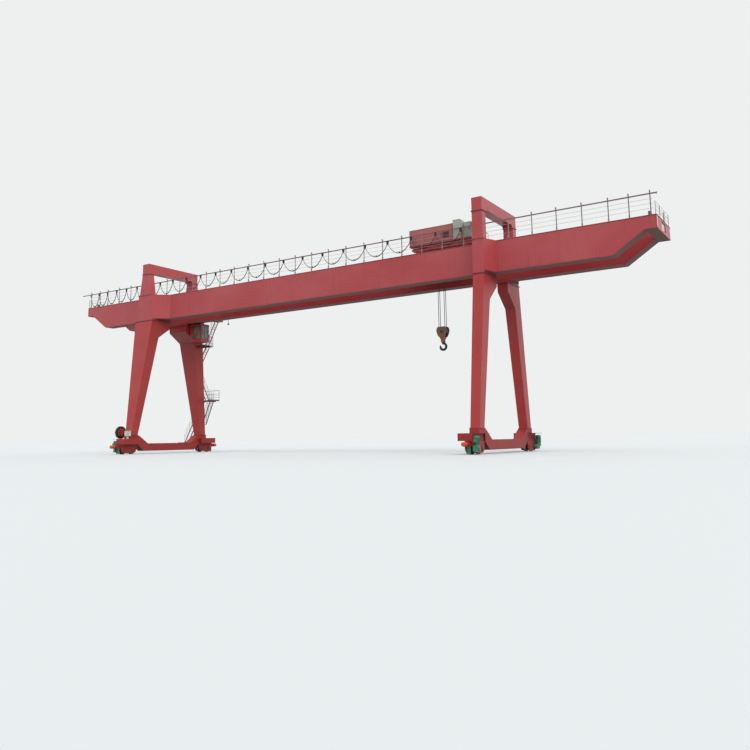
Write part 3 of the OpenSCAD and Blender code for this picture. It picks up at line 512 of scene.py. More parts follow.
def hook_block_enamel(name, base, split):
    """Orange enamel that is brown with rope grease, most of all above the split height."""
    mat = enamel(name, base, "#b5502f", dirt_share=0.6, rust=0.04, coat=0.05)
    tree, shader, coords, colour = opened(mat)
    height = put(tree, "SeparateXYZ", (coords,), "Z")
    ragged = put(tree, "Math", (patchy(tree, coords, 70), 0.28, height), operation="MULTIPLY_ADD")
    greasy = laid(tree, colour, "#55463a", ragged, split + 0.03, split + 0.13, 0.92, 0.62)
    plug(tree, shader, {"Base Color": greasy})
    return mat


def steel(name, base, worn, gloss=0.4, metallic=0.9, grain_mm=4, rust_share=0.3):
    """Rolled or cast steel: fine grain, dull patches, and rust where the patches are darkest."""
    mat, tree, shader, coords = new_material(name)
    patches = patchy(tree, coords, 220, 5.0)
    colour = laid(tree, base, worn, patches, 0.35, 0.65)
    colour = laid(tree, colour, "#5b3420", patches, 0.62, 0.42, rust_share)
    rough = put(tree, "MapRange", (patches, 0.3, 0.7, gloss + 0.18, gloss))
    surface(tree, shader, colour, rough, patchy(tree, coords, grain_mm, 3.0), 0.25, 0.002,
            {"Metallic": metallic})
    return mat


def rubber(name, base, worn, gloss=0.6, grain_mm=6):
    """Moulded rubber or cable sheath: almost matt, with dust in soft patches."""
    mat, tree, shader, coords = new_material(name)
    patches = patchy(tree, coords, 90)
    colour = laid(tree, base, worn, patches, 0.4, 0.7, 0.8)
    rough = put(tree, "MapRange", (patches, 0.3, 0.7, gloss, gloss + 0.2))
    surface(tree, shader, colour, rough, patchy(tree, coords, grain_mm, 2.0), 0.2, 0.002)
    return mat


def rope_steel(name):
    """Greased wire rope: wires that shine over dark grease, in lays drawn coarse enough to show."""
    mat, tree, shader, coords = new_material(name)
    waves = {"Vector": coords, "Scale": cells(46), "Distortion": 0.6, "Detail": 1.0}
    lay = put(tree, "TexWave", waves, "Fac", wave_type="BANDS", bands_direction="DIAGONAL")
    colour = laid(tree, "#232425", "#5b5c5c", lay, 0.2, 0.8)
    surface(tree, shader, colour, 0.45, lay, 0.5, 0.002, {"Metallic": 0.8})
    return mat


def window_glass(name):
    """Tinted safety glass with a film of dust: dark behind, and it mirrors the sky."""
    mat, tree, shader, coords = new_material(name)
    film = patchy(tree, coords, 240, 3.0)
    colour = laid(tree, "#666a62", "#a0a49a", film, 0.3, 0.8)
    rough = put(tree, "MapRange", (film, 0.4, 0.8, 0.06, 0.22))
    plug(tree, shader, {"Base Color": colour, "Roughness": rough, "IOR": 1.52, "Transmission Weight": 0.15})
    return mat


def seen_by(tree, rays):
    """1 for rays of these kinds, else 0."""
    path = tree.nodes.new("ShaderNodeLightPath").outputs
    seen = path[f"Is {rays[0]} Ray"]
    for ray in rays[1:]:
        seen = put(tree, "Math", (seen, path[f"Is {ray} Ray"]), operation="MAXIMUM")
    return seen


def floor_paint(name):
    """Plain matt pale floor; the light that it throws back on the crane is as weak as from a yard."""
    mat, tree, shader, _ = new_material(name)
    plug(tree, shader, {"Base Color": rgba("#cbcece"), "Roughness": 0.9})
    yard = put(tree, "BsdfDiffuse", {"Color": rgba("#7a7771")})
    seen = seen_by(tree, ("Camera", "Glossy", "Transmission"))
    mix = put(tree, "MixShader", (seen, yard, shader.outputs[0]))
    tree.links.new(mix, tree.nodes["Material Output"].inputs["Surface"])
    return mat


def make_materials(colours):
    """All the finishes, by the name of what they are."""
    red = colours.red
    faded = colours.faded
    MATERIALS.update({
        # Large sprayed plates: pinkish red where the sun has bleached them, and brown grey painted shade on
        # faces that look down
        "girder_enamel": enamel("alkyd_enamel_red_girders", red, faded, underside_shade=0.94),
        "red_enamel": enamel("alkyd_enamel_red", red, faded, chalked=0.32),
        # A fresher, deeper coat on the legs
        "leg_enamel": enamel("alkyd_enamel_red_legs", "#a32b2a", "#a83936", chalked=0.08, coat=0.1),
        # Darkest red, its darkness painted shade on the low sills and trucks, browned near the ground by
        # what the wheels throw up
        "shaded_truck_enamel": shaded_truck_enamel("alkyd_enamel_red_trucks_painted_shade", "#c9502d"),
        # Joints and beads where dirt gathers, dull red brown; it is also the colour of the painted shadow
        # lines along the girder edges
        "joint_enamel": enamel("alkyd_enamel_red_weathered", "#5f2b2a", "#6d3a37", dirt_share=0.6, rust=0.05,
                               gloss=0.55),
        # Thin bars brushed by hand, whose red has gone to grey brown and plum
        "post_enamel": enamel("alkyd_enamel_grey_brown", "#857a77", "#968c88", dirt_share=0.4, rust=0.04,
                              gloss=0.55),
        "rail_enamel": enamel("alkyd_enamel_plum_brown", "#876a6c", "#95797b", dirt_share=0.4, rust=0.04,
                              gloss=0.5),
        # Plates on the girder ends, faded to a pale pink, with the sky light that they catch at a grazing
        # angle painted into that pink
        "pink_enamel": enamel("alkyd_enamel_faded_pink_with_painted_sky_light", "#dcbfc3", "#e2cfd0", dirt="#a58c8a",
                              dirt_share=0.3),
        # Worn primer red of steps and kick plates
        "brown_enamel": enamel("alkyd_enamel_red_brown", "#6f4443", "#7b5654", dirt_share=0.45, rust=0.035,
                               gloss=0.5),
        "low_landing_enamel": landing_enamel("alkyd_enamel_low_landing", 2.675),
        "high_landing_enamel": landing_enamel("alkyd_enamel_high_landing", 5.5),
        "block_enamel": hook_block_enamel("alkyd_enamel_orange_greasy", colours.orange, BLOCK_HIGH - 0.3),
        # Pressed sheet cabinets in two greys, streaked from their tops
        "grey_enamel": enamel("alkyd_enamel_grey", "#959e92", "#a9aea3", dirt="#565a50", dirt_share=0.4,
                              rust=0.03),
        "pale_enamel": enamel("alkyd_enamel_pale_grey", "#c3c7ba", "#d3d5ca", dirt="#6c6a60",
                              dirt_share=0.4),
        # Castings of the motors, sea green with oily streaks
        "green_enamel": enamel("alkyd_enamel_green", colours.green, "#4b8a70", dirt="#23302b",
                               dirt_share=0.45),
        # Sheet walls of the hoist, their red veiled by dust
        "housing_enamel": enamel("alkyd_enamel_red_dusty", "#a65557", "#ae696a", dirt="#5f4a44",
                                 dirt_share=0.45, rust=0.03, gloss=0.5, coat=0.1),
        # Hot dip galvanised bar: flat light grey with hardly any shine
        "tube_steel": steel("galvanised_steel_bar", "#9ea2a1", "#b7bab9", 0.5, 0.3, 6, 0.08),
        # Rolled rail, brown at the sides
        "rail_steel": steel("rolled_steel_rail", "#6b6460", "#8d8884", 0.35, 0.85, 5, 0.55),
        # Oiled, cast and forged steel: near black, coarser in the grain and duller in that order
        "dark_steel": steel("oiled_steel", "#2b2a2a", "#454240", 0.4, 0.7, 5, 0.25),
        "cast_steel": steel("cast_steel", "#38383a", "#565553", 0.5, 0.8, 8, 0.3),
        "forged_steel": steel("forged_steel_black", "#23272a", "#34393a", 0.45, 0.6, 9, 0.1),
        # Wheel treads, rolled bright by the rails
        "bright_steel": steel("worn_tread_steel", "#8b8b8b", "#a9a9a9", 0.25, 0.95, 3, 0.1),
        # Zinc plated bolts, dull with rust in the corners
        "bolt_steel": steel("zinc_plated_steel", "#7c7570", "#9a948e", 0.4, 0.85, 3, 0.4),
        # Extruded sheath and moulded seals: matt black with grey dust
        "cable_sheath": rubber("cable_sheath_rubber", "#1d1e20", "#303234"),
        "seal": rubber("window_seal_rubber", "#151617", "#2b2c2d"),
        # Cast polyurethane, a dull orange
        "buffer": rubber("buffer_polyurethane", "#c74f2b", "#b0583e", 0.45),
        # Grained vinyl with a faint sheen
        "seat_vinyl": rubber("seat_vinyl", "#1e2226", "#2b3034", 0.4, 3),
        "rope": rope_steel("wire_rope"),
        "glass": window_glass("tinted_safety_glass"),
        "lamp_glass": window_glass("lamp_glass"),
        "floor": floor_paint("plain_floor"),
    })


# Endings of the bare parts' names, by the finish that they wear
DRESSES = {
    "girder_enamel": ("girder", "tie"),
    "red_enamel": ("saddle", "cab_shell", "cable_reel", "trolley_frame"),
    "leg_enamel": ("_leg",),
    "shaded_truck_enamel": ("sill_beam", "truck", "reel_arm"),
    "green_enamel": ("drive",),
    "brown_enamel": ("stair_lower", "stair_upper", "ladder"),
    "low_landing_enamel": ("landing_lower",),
    "high_landing_enamel": ("landing_upper",),
    "housing_enamel": ("hoist_housing",),
    "block_enamel": ("hook_block",),
    "grey_enamel": ("electric_cabinets",),
    "pale_enamel": ("control_box",),
    "rail_steel": ("trolley_rails",),
    "cast_steel": ("wheel_inner", "wheel_outer"),
    "forged_steel": ("hook",),
    "glass": ("cab_glass",),
}


class CRANE_OT_finishes(bpy.types.Operator):
    """Makes the finishes and gives each bare part its own"""

    bl_idname = "crane.finishes"
    bl_label = "Finishes"

    def execute(self, context):
        make_materials(context.scene.crane_colours)
        for finish, endings in DRESSES.items():
            for name in NODES:
                if name.endswith(endings):
                    slots = NODES[name].data.materials
                    slots.clear()
                    slots.append(MATERIALS[finish])
        return {"FINISHED"}


def post_places(pitch):
    """X of the handrail posts: an even row that skips the legs, and three and two more at the ends."""
    start = GIRDER_RIGHT - 1.549
    count = int((start - GIRDER_LEFT - 1.9) / pitch) + 1
    main = start - np.arange(count) * pitch
    main = main[(np.abs(main - RIGID_X) > 0.26) & (np.abs(main - FLEX_X) > 0.26)]
    left = GIRDER_LEFT + np.array([0.185, 0.917, 1.563])
    right = GIRDER_RIGHT - np.array([0.865, 0.17])
    return np.sort(np.r_[main, left, right])


class CRANE_OT_handrails(bpy.types.Operator):
    """Handrails of both girders, with the posts that carry the cable rail on the near side"""

    bl_idname = "crane.handrails"
    bl_label = "Handrails"

    def execute(self, context):
        sizes = context.scene.crane_sizes
        xs = post_places(sizes.post_pitch)
        r = sizes.bar_radius
        half, inner = 0.019, -0.014
        angle = np.array([[-half, -half], [half, -half], [half, inner], [inner, inner], [inner, half],
                          [-half, half]])
        for side, name, height in ((-1, "near", 0.82), (1, "far", FAR_POST)):
            y = side * POST_Y
            post = merged(along([(0, 0, 0), (0, 0, height)], angle * (1, side), up=(0, 1, 0)),
                          block((-0.04, -0.03, 0), (0.04, 0.03, 0.008), 0.002),
                          blocks([(-0.003, -0.028, 0.008)], [(0.003, 0.028, 0.06)]))
            posts = Shape().stamp(post, spots(xs, y, GIRDER_TOP))
            if side < 0:
                arm = block((-0.016, 0, 0), (0.016, POST_Y - CABLE_Y + 0.012, 0.024), 0.002)
                posts.stamp(arm, spots(xs, y, CABLE_RAIL_Z + 0.02))
                cap = block((-0.022, -0.022, 0), (0.022, 0.022, 0.05), 0.004)
                socket = block((-0.023, -0.023, 0), (0.023, 0.023, 0.06), 0.003)
                caps = Shape().stamp(cap, spots(xs, y, GIRDER_TOP + height - 0.032))
                caps.stamp(socket, spots(xs, y, GIRDER_TOP + 0.05))
                piece("rail_post_sockets", caps, "post_enamel", smooth=0)
            x0, x1 = GIRDER_LEFT + END_INSET, GIRDER_RIGHT - END_INSET
            end = GIRDER_RIGHT - END_RAIL_INSET if side < 0 else GIRDER_LEFT + END_RAIL_INSET
            end_post = along([(0, 0, 0), (0, 0, END_RAIL_SHARE * FAR_POST)], angle * 0.6, up=(0, 1, 0))
            end_ys = POST_Y * np.array([-0.99, -0.34, 0.34, 0.99])
            rods = Shape().stamp(end_post, spots(end, end_ys, GIRDER_TOP))
            for h in BAR_HEIGHTS:
                z, low = GIRDER_TOP + h, GIRDER_TOP + h * END_RAIL_SHARE
                rods.join(tube((x0, y, z), (x1, y, z), r), tube((end, -POST_Y, low), (end, POST_Y, low), r))
            places = spots(xs, y - side * 0.016, GIRDER_TOP + BAR_HEIGHTS)
            nuts = Shape().stamp(hex_bolt(0.006), places, facing((0, -side, 0)))
            piece(f"{name}_rail_posts", posts, "post_enamel", replaces=[f"{name}_walkway_rail"], smooth=0)
            piece(f"{name}_rail_bars", rods, "tube_steel")
            piece(f"{name}_rail_bolts", nuts, "bolt_steel", smooth=0)
        web, h, b = 0.0035, 0.02, 0.015
        half_beam = np.array([[-b, -h], [b, -h], [b, web - h], [web, 1.4 * web - h], [web, h - 1.4 * web],
                              [b, h - web]])
        ends = spots((-CABLE_RAIL_HALF, CABLE_RAIL_HALF), -CABLE_Y, CABLE_RAIL_Z)
        stop = block((-0.02, -0.022, -0.035), (0.02, 0.022, 0.02), 0.003)
        beam = along(ends, np.r_[half_beam, -half_beam])
        beam.stamp(stop, ends + [[0.03, 0, 0], [-0.03, 0, 0]])
        piece("cable_rail_beam", beam, "rail_enamel", smooth=0)
        return {"FINISHED"}


def carrier_places(loops):
    """Carriers on the cable rail: X is a cubic of the share, so the loops grow wider towards the trolley."""
    u = np.arange(loops + 1) / loops
    return CABLE_LEFT + (CABLE_RIGHT - CABLE_LEFT) * (0.657 * u + 0.564 * u ** 2 - 0.221 * u ** 3)


def hanging(pitch, length, steps=25):
    """Share along the span, and depth, of a cable that hangs as a catenary between two points.

    The depth is 0.425 times the root of length squared less pitch squared. The catenary's number is read
    from the rise of cosh.
    """
    depth = 0.425 * math.sqrt(max(length ** 2 - pitch ** 2, 1e-4))
    t = np.linspace(0.05, 5, 400)
    bend = np.interp(depth / pitch, (np.cosh(t) - 1) / (2 * t), t)
    u = np.linspace(0, 1, steps)
    return u, depth * (1 - (np.cosh(bend * (2 * u - 1)) - 1) / (np.cosh(bend) - 1))


def carried(obj):
    """Bakes the place of a piece of the festoon into its mesh."""
    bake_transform(obj)


def cable_carrier():
    """Roller carrier: two side plates, four rollers, a round saddle for the cable and rubber bumpers."""
    plate = blocks([(-0.046, -0.0195, -0.022)], [(0.046, -0.0165, 0.096)])
    flank = [(0.0175, 0.001), (0.0175, 0.041), (0.015, 0.043), (0.013, 0.037)]
    saddle = [(-y, r) for y, r in flank] + flank[::-1]
    roller = [(0, 0.001), (0, 0.0095), (0.003, 0.0112), (0.009, 0.0112), (0.009, 0.001)]
    bumper = block((-0.006, -0.012, -0.012), (0.006, 0.012, 0.012), 0.004)
    body = merged(plate, Shape().stamp(plate, (0, 0.036, 0)), lathe(saddle, (0, 0, -0.018), (0, 1, 0), 24))
    body.stamp(lathe(roller, (0, 0, 0), (0, 1, 0), 14), spots((-0.028, 0.028), (-0.0155, 0.0065), 0.0848))
    return body.stamp(bumper, spots((-0.048, 0.048), 0, 0.02))


class CRANE_OT_festoon(bpy.types.Operator):
    """Festoon cable: flat cables in loops under roller carriers on the cable rail"""

    bl_idname = "crane.festoon"
    bl_label = "Festoon cable"

    def execute(self, context):
        sizes = context.scene.crane_sizes
        xs = carrier_places(sizes.loops)
        half = sizes.cable_width / 2
        thick = 0.0045
        flat = np.array([[-half, -thick], [half, -thick], [half + thick / 2, 0], [half, thick],
                         [-half, thick], [-half - thick / 2, 0]])
        tie = block((-0.012, -0.018, 0), (0.012, 0.018, 0.07), 0.004)
        for k, (x0, x1) in enumerate(zip(xs[:-1], xs[1:])):
            u, depth = hanging(x1 - x0, sizes.loop_length)
            shape = Shape()
            # Three cables side by side, each a little shorter than the last
            for lift, shift in ((0.0, 0.0), (0.03, 0.007), (0.055, -0.007)):
                path = np.stack([x0 + u * (x1 - x0), np.full_like(u, shift - CABLE_Y),
                                 HANG_Z - 0.012 - depth * (1 - lift)], -1)
                shape.join(along(path, flat, up=(0.01, 0, 1)))
            shape.stamp(tie, ((x0 + x1) / 2, -CABLE_Y, HANG_Z - 0.02 - depth.max()))
            obj = piece(f"festoon_loop_{k:02d}", shape, "cable_sheath", ride=False)
            carried(obj)
            if k == 0:
                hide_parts("festoon_cable")
        carrier = cable_carrier()
        for k, x in enumerate(xs):
            shape = Shape().stamp(carrier, (x, -CABLE_Y, HANG_Z))
            ends = {0: "gantry", sizes.loops: "trolley"}
            obj = piece(f"cable_carrier_{k:02d}", shape, "dark_steel", ends.get(k), ride=k in ends)
            if k not in ends:
                carried(obj)
        return {"FINISHED"}


class CRANE_OT_ropes(bpy.types.Operator):
    """Four falls of laid wire rope from the drum to the hook block, and the rope wound on the drum"""

    bl_idname = "crane.ropes"
    bl_label = "Hoist ropes"

    def execute(self, context):
        r = context.scene.crane_sizes.rope_radius
        steps, lay_length, turns = 140, 0.14, 9
        z = np.linspace(BLOCK_HIGH, DRUM_Z, steps)
        a = np.arange(18) * 2 * math.pi / 18
        lay = (z - BLOCK_HIGH) / lay_length * 2 * math.pi
        lobes = r * (0.88 + 0.12 * np.abs(np.cos(3 * (a[None, :] - lay[:, None] / 3))))
        section = np.stack([lobes * np.cos(a), lobes * np.sin(a)], -1)
        fall = along(np.stack([0 * z, 0 * z, z], -1), section, up=(0, 1, 0))
        falls = Shape().stamp(fall, spots((HOOK_X - FALL_X, HOOK_X + FALL_X), (-FALL_Y, FALL_Y), 0))
        obj = piece("rope_falls", falls, "rope", ride=False, replaces=["hoist_ropes"])
        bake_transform(obj)
        wound = Shape()
        t = np.linspace(0, turns * 2 * math.pi, turns * 28)
        y = FALL_Y + 0.008 + t / (2 * math.pi) * (DRUM_HALF - FALL_Y - 0.03) / turns
        for s in (-1, 1):
            path = np.stack([HOOK_X + FALL_X * np.cos(t), s * y, DRUM_Z + FALL_X * np.sin(t)], -1)
            wound.join(along(path, ring(r * 0.8, 8), up=(0, 1, 0)))
        piece("rope_on_drum", wound, "rope", "trolley")
        return {"FINISHED"}


class CRANE_OT_girder_trim(bpy.types.Operator):
    """Rail clips, weld seams, painted shadow lines along the web edges and end plates of the girders"""

    bl_idname = "crane.girder_trim"
    bl_label = "Girder trim"

    def execute(self, context):
        clip = block((-0.03, -0.018, 0), (0.03, 0.018, 0.012), 0.003).stamp(hex_bolt(0.009), (0, 0, 0.012))
        xs = np.arange(GIRDER_LEFT + 0.6, GIRDER_RIGHT - 0.5, context.scene.crane_sizes.clip_pitch)
        ys = [s * RAIL_Y + d * 0.045 for s in (-1, 1) for d in (-1, 1)]
        piece("rail_clips", Shape().stamp(clip, spots(xs, ys, GIRDER_TOP)), "bolt_steel", smooth=0)
        seams = Shape()
        edges = Shape()
        low, high = GIRDER_BOTTOM + 0.016, GIRDER_TOP - 0.016
        for s in (-1, 1):
            for x in (-6.665, 7.35):
                for y in (WEB_INNER, WEB_OUTER):
                    seams.join(along([(x, s * y, low), (x, s * y, high)], ring(0.006, 8), up=(0, 1, 0)))
                across = [(x, s * WEB_INNER, GIRDER_BOTTOM), (x, s * WEB_OUTER, GIRDER_BOTTOM)]
                seams.join(along(across, ring(0.006, 8)))
            # Dark bars along the webs' top and bottom edges: painted shadow lines, with dirt on the lower
            # flange edge too
            for y in (WEB_INNER - 0.001, WEB_OUTER + 0.001):
                for z, inset in ((low, 1.95), (high, 0.02)):
                    ends = spots((GIRDER_LEFT + inset, GIRDER_RIGHT - inset), s * y, z)
                    edges.join(along(ends, ring(0.013, 8)))
        panels = Shape()
        frames = Shape()
        for x, d, tie in ((GIRDER_LEFT, -1, "left_end_tie"), (GIRDER_RIGHT, 1, "right_end_tie")):
            z0, z1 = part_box(tie)[0].z + 0.08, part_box(tie)[1].z - 0.08
            # Pale pink panels: faded paint, with painted sky light in their colour
            panels.join(block((x - d * 0.03, -0.3, z0), (x - d * 0.036, 0.3, z1), 0.002))
            edge = spots(x + d * 0.001, (-WEB_OUTER - 0.01, WEB_OUTER + 0.01), high)
            frames.join(along(edge, ring(0.014, 8)))
            for s in (-1, 1):
                frames.join(block((x - d * 0.022, s * 0.265, z0), (x - d * 0.03, s * 0.295, z1), 0.002))
                panels.join(block((x - d * 0.002, s * 0.93, z0 - 0.03),
                                  (x + d * 0.004, s * 1.005, z1 + 0.03), 0.001))
        piece("end_tie_panels", panels, "pink_enamel")
        piece("end_tie_frames", frames, "joint_enamel")
        piece("girder_weld_seams", seams, "red_enamel")
        piece("girder_edge_shadow_lines", edges, "joint_enamel")
        return {"FINISHED"}


def band(cx, cy, half_x, half_y, z0, z1, proud=0.0015):
    """Thin frame round the edge of a flange, from four long blocks."""
    x0, x1 = cx - half_x, cx + half_x
    y0, y1 = cy - half_y, cy + half_y
    p = proud
    lows = [(x0 - p, y0 - p, z0), (x0 - p, y1, z0), (x0 - p, y0, z0), (x1, y0, z0)]
    highs = [(x1 + p, y0, z1), (x1 + p, y1 + p, z1), (x0, y1, z1), (x1 + p, y1, z1)]
    return blocks(lows, highs)


def rim_bolts(bolt, centre, half_x, half_y, per_x, per_y, up, open_side):
    """Bolts round a level flange, heads up or down; the open side towards the crane's middle has none."""
    cx, cy, z = centre
    xs = np.linspace(cx - half_x, cx + half_x, per_x)
    ys = np.linspace(cy - half_y, cy + half_y, per_y)[1:-1]
    points = np.r_[spots(xs, (cy - half_y, cy + half_y), z), spots((cx - half_x, cx + half_x), ys, z)]
    if open_side:
        points = points[np.abs(points[:, 1]) > abs(cy) - half_y + 0.01]
    return Shape().stamp(bolt, points, facing((0, 0, up)))


class CRANE_OT_flange_bolts(bpy.types.Operator):
    """Bolts of the leg, saddle and sill beam flanges"""

    bl_idname = "crane.flange_bolts"
    bl_label = "Flange bolts"

    def execute(self, context):
        bolt = hex_bolt(context.scene.crane_sizes.bolt)
        shape = Shape()
        bands = Shape()
        edge = 0.013
        # Half widths along X of the leg's foot and head, and of the saddle's foot and corner
        for x, foot, head, post, corner, head_bolts, post_bolts in (
                (RIGID_X, 0.212, 0.615, 0.4, 0.23, 9, 8), (FLEX_X, 0.18, 0.215, 0.203, 0.203, 5, 5)):
            # Y, half sizes, bolts along X and Y, the two faces, and rows of bolts with their way
            flanges = ((2.215, foot, 0.203, 6, 6, 0.867, 0.893, ((0.894, 1, False), (0.865, -1, True))),
                       (1.0975, head, 0.5855, head_bolts, 12, 6.457, 6.489, ((6.456, -1, False),)),
                       (1.4775, post, 0.1705, post_bolts, 5, 7.776, 7.788, ((7.789, 1, False),)),
                       (1.4775, corner, 0.1705, 5, 5, 8.817, 8.843, ((8.844, 1, True), (8.816, -1, False))))
            for y, half_x, half_y, per_x, per_y, z0, z1, rows in flanges:
                for s in (-1, 1):
                    bands.join(band(x, s * y, half_x + 2 * edge, half_y + edge, z0, z1))
                    for z, up, open_side in rows:
                        shape.join(rim_bolts(bolt, (x, s * y, z), half_x + edge, half_y, per_x, per_y, up,
                                             open_side))
        piece("flange_bolts", shape, "bolt_steel", smooth=0)
        piece("flange_edges", bands, "joint_enamel", smooth=0)
        return {"FINISHED"}


def stations():
    """X, the side along Y, and the outer side along X of each end truck."""
    return [(x, s, o) for x, o in ((RIGID_X, -1), (FLEX_X, 1)) for s in (-1, 1)]


class CRANE_OT_trucks(bpy.types.Operator):
    """Fittings of the end trucks: bearing covers, buffers, rail guards, box lids and wheel treads"""

    bl_idname = "crane.trucks"
    bl_label = "End truck fittings"

    def execute(self, context):
        covers = Shape()
        bolts = Shape()
        buffers = Shape()
        guards = Shape()
        cover = [(-0.004, 0.001), (-0.004, 0.072), (0.006, 0.072), (0.008, 0.07), (0.008, 0.047),
                 (0.02, 0.045), (0.024, 0.04), (0.024, 0.001)]
        pad = [(0.0005, 0.0655), (0.0005, 0.0675), (0.006, 0.066), (0.02, 0.074), (0.09, 0.078),
               (0.098, 0.074), (0.1, 0.066), (0.16, 0.066), (0.17, 0.085), (0.185, 0.085), (0.185, 0.001)]
        for x, s, o in stations():
            for w in (-1, 1):
                for d in (-1, 1):
                    # The drive covers the outer bearing of the outer wheel
                    if d == o and w == 1:
                        continue
                    hub = np.array([x + d * 0.1725, s * (TRUCK_Y + w * WHEEL_BASE / 2), AXLE_Z])
                    covers.join(lathe(cover, hub, (d, 0, 0), 28))
                    bolts.join(bolt_ring(hub + (d * 0.008, 0, 0), (d, 0, 0), 0.06, 6, 0.0075, 0.3))
            buffers.join(lathe(pad, (x, s * 3.4, BUFFER_Z), (0, -s, 0), 32))
            bolts.join(bolt_ring((x, s * 3.213, BUFFER_Z), (0, s, 0), 0.074, 6, 0.006, 0.26))
            face = TRUCK_Y + 0.514
            guards.join(block((x - 0.082, s * (face - 0.046), 0.024), (x + 0.082, s * face, 0.262), 0.006))
            rib = block((-0.006, s * face, 0.05), (0.006, s * (face + 0.03), 0.25), 0.002)
            guards.stamp(rib, spots((x - 0.062, x + 0.062), 0, 0))
            covers.join(block((x - o * 0.146, s * 1.998, 0.7), (x + o * 0.406, s * 2.972, 0.71), 0.003))
            places = spots(np.linspace(x - o * 0.11, x + o * 0.37, 5), s * 2.971, (0.48, 0.68))
            bolts.stamp(hex_bolt(0.006), places, facing((0, s, 0)))
        piece("truck_bearing_covers", covers, "shaded_truck_enamel")
        piece("truck_bolts", bolts, "bolt_steel", smooth=0)
        piece("buffer_pads", buffers, "buffer")
        piece("rail_guards", guards, "green_enamel")
        tread = [(-0.031, 0.15), (-0.031, 0.1686), (0.031, 0.1686), (0.031, 0.15)]
        for n in NODES:
            if "wheel" in n:
                low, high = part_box(n)
                hub = np.array((low + high) / 2)
                nuts = [bolt_ring(hub + (d * 0.0145, 0, 0), (d, 0, 0), 0.1, 6, 0.008) for d in (-1, 1)]
                piece(f"{n}_tread", merged(lathe(tread, hub, (1, 0, 0), 48), *nuts), "bright_steel", n)
        return {"FINISHED"}


class CRANE_OT_drives(bpy.types.Operator):
    """Cooling ribs, fan cowls, terminal boxes and cover bolts of the travel motors"""

    bl_idname = "crane.drives"
    bl_label = "Drive fittings"

    def execute(self, context):
        ribs = Shape()
        bolts = Shape()
        rib = block((0.084, -0.0018, 0), (0.099, 0.0018, 0.235), 0.0006)
        cowl = [(0.555, 0.094), (0.555, 0.1), (0.605, 0.1), (0.622, 0.09), (0.622, 0.07), (0.6225, 0.07),
                (0.6225, 0.001), (0.56, 0.001), (0.56, 0.094)]
        cover = [(-0.002, 0.001), (-0.002, 0.09), (0.006, 0.09), (0.008, 0.088), (0.008, 0.05),
                 (0.022, 0.046), (0.024, 0.001)]
        for x, s, o in stations():
            motor = np.array([x + o * 0.272, s * MOTOR_Y, 0.0])
            ribs.stamp(rib, motor + (0, 0, 0.318), round_turns(30))
            ribs.join(lathe(cowl, motor, (0, 0, 1), 36))
            for r in (0.025, 0.045):
                guard = [(0.622, r), (0.627, r + 0.002), (0.627, r + 0.006), (0.622, r + 0.008)]
                ribs.join(lathe(guard, motor, (0, 0, 1), 28))
            ribs.join(block(motor + (-0.05, s * 0.083, 0.4), motor + (0.05, s * 0.153, 0.52), 0.006))
            shaft = np.array([x + o * 0.2925, s * 2.735, AXLE_Z])
            ribs.join(lathe(cover, shaft, (o, 0, 0), 32))
            bolts.join(bolt_ring(shaft + (o * 0.008, 0, 0), (o, 0, 0), 0.0688, 8, 0.007, 0.2),
                       bolt_ring(motor + (0, 0, 0.3), (0, 0, 1), 0.088, 6, 0.007, 0.5))
        piece("motor_ribs", ribs, "green_enamel")
        piece("drive_bolts", bolts, "bolt_steel", smooth=0)
        return {"FINISHED"}


def rim_of(low, high, axis, radius=0.009):
    """Round seal along the four edges of an opening that lies square to an axis."""
    a, b = [i for i in range(3) if i != axis]
    corners = np.tile(np.array(low, float), (5, 1))
    corners[1:3, a] = high[a]
    corners[2:4, b] = high[b]
    up = np.eye(3)[axis]
    return merged(*[along(corners[i:i + 2], ring(radius, 8), up=up) for i in range(4)])


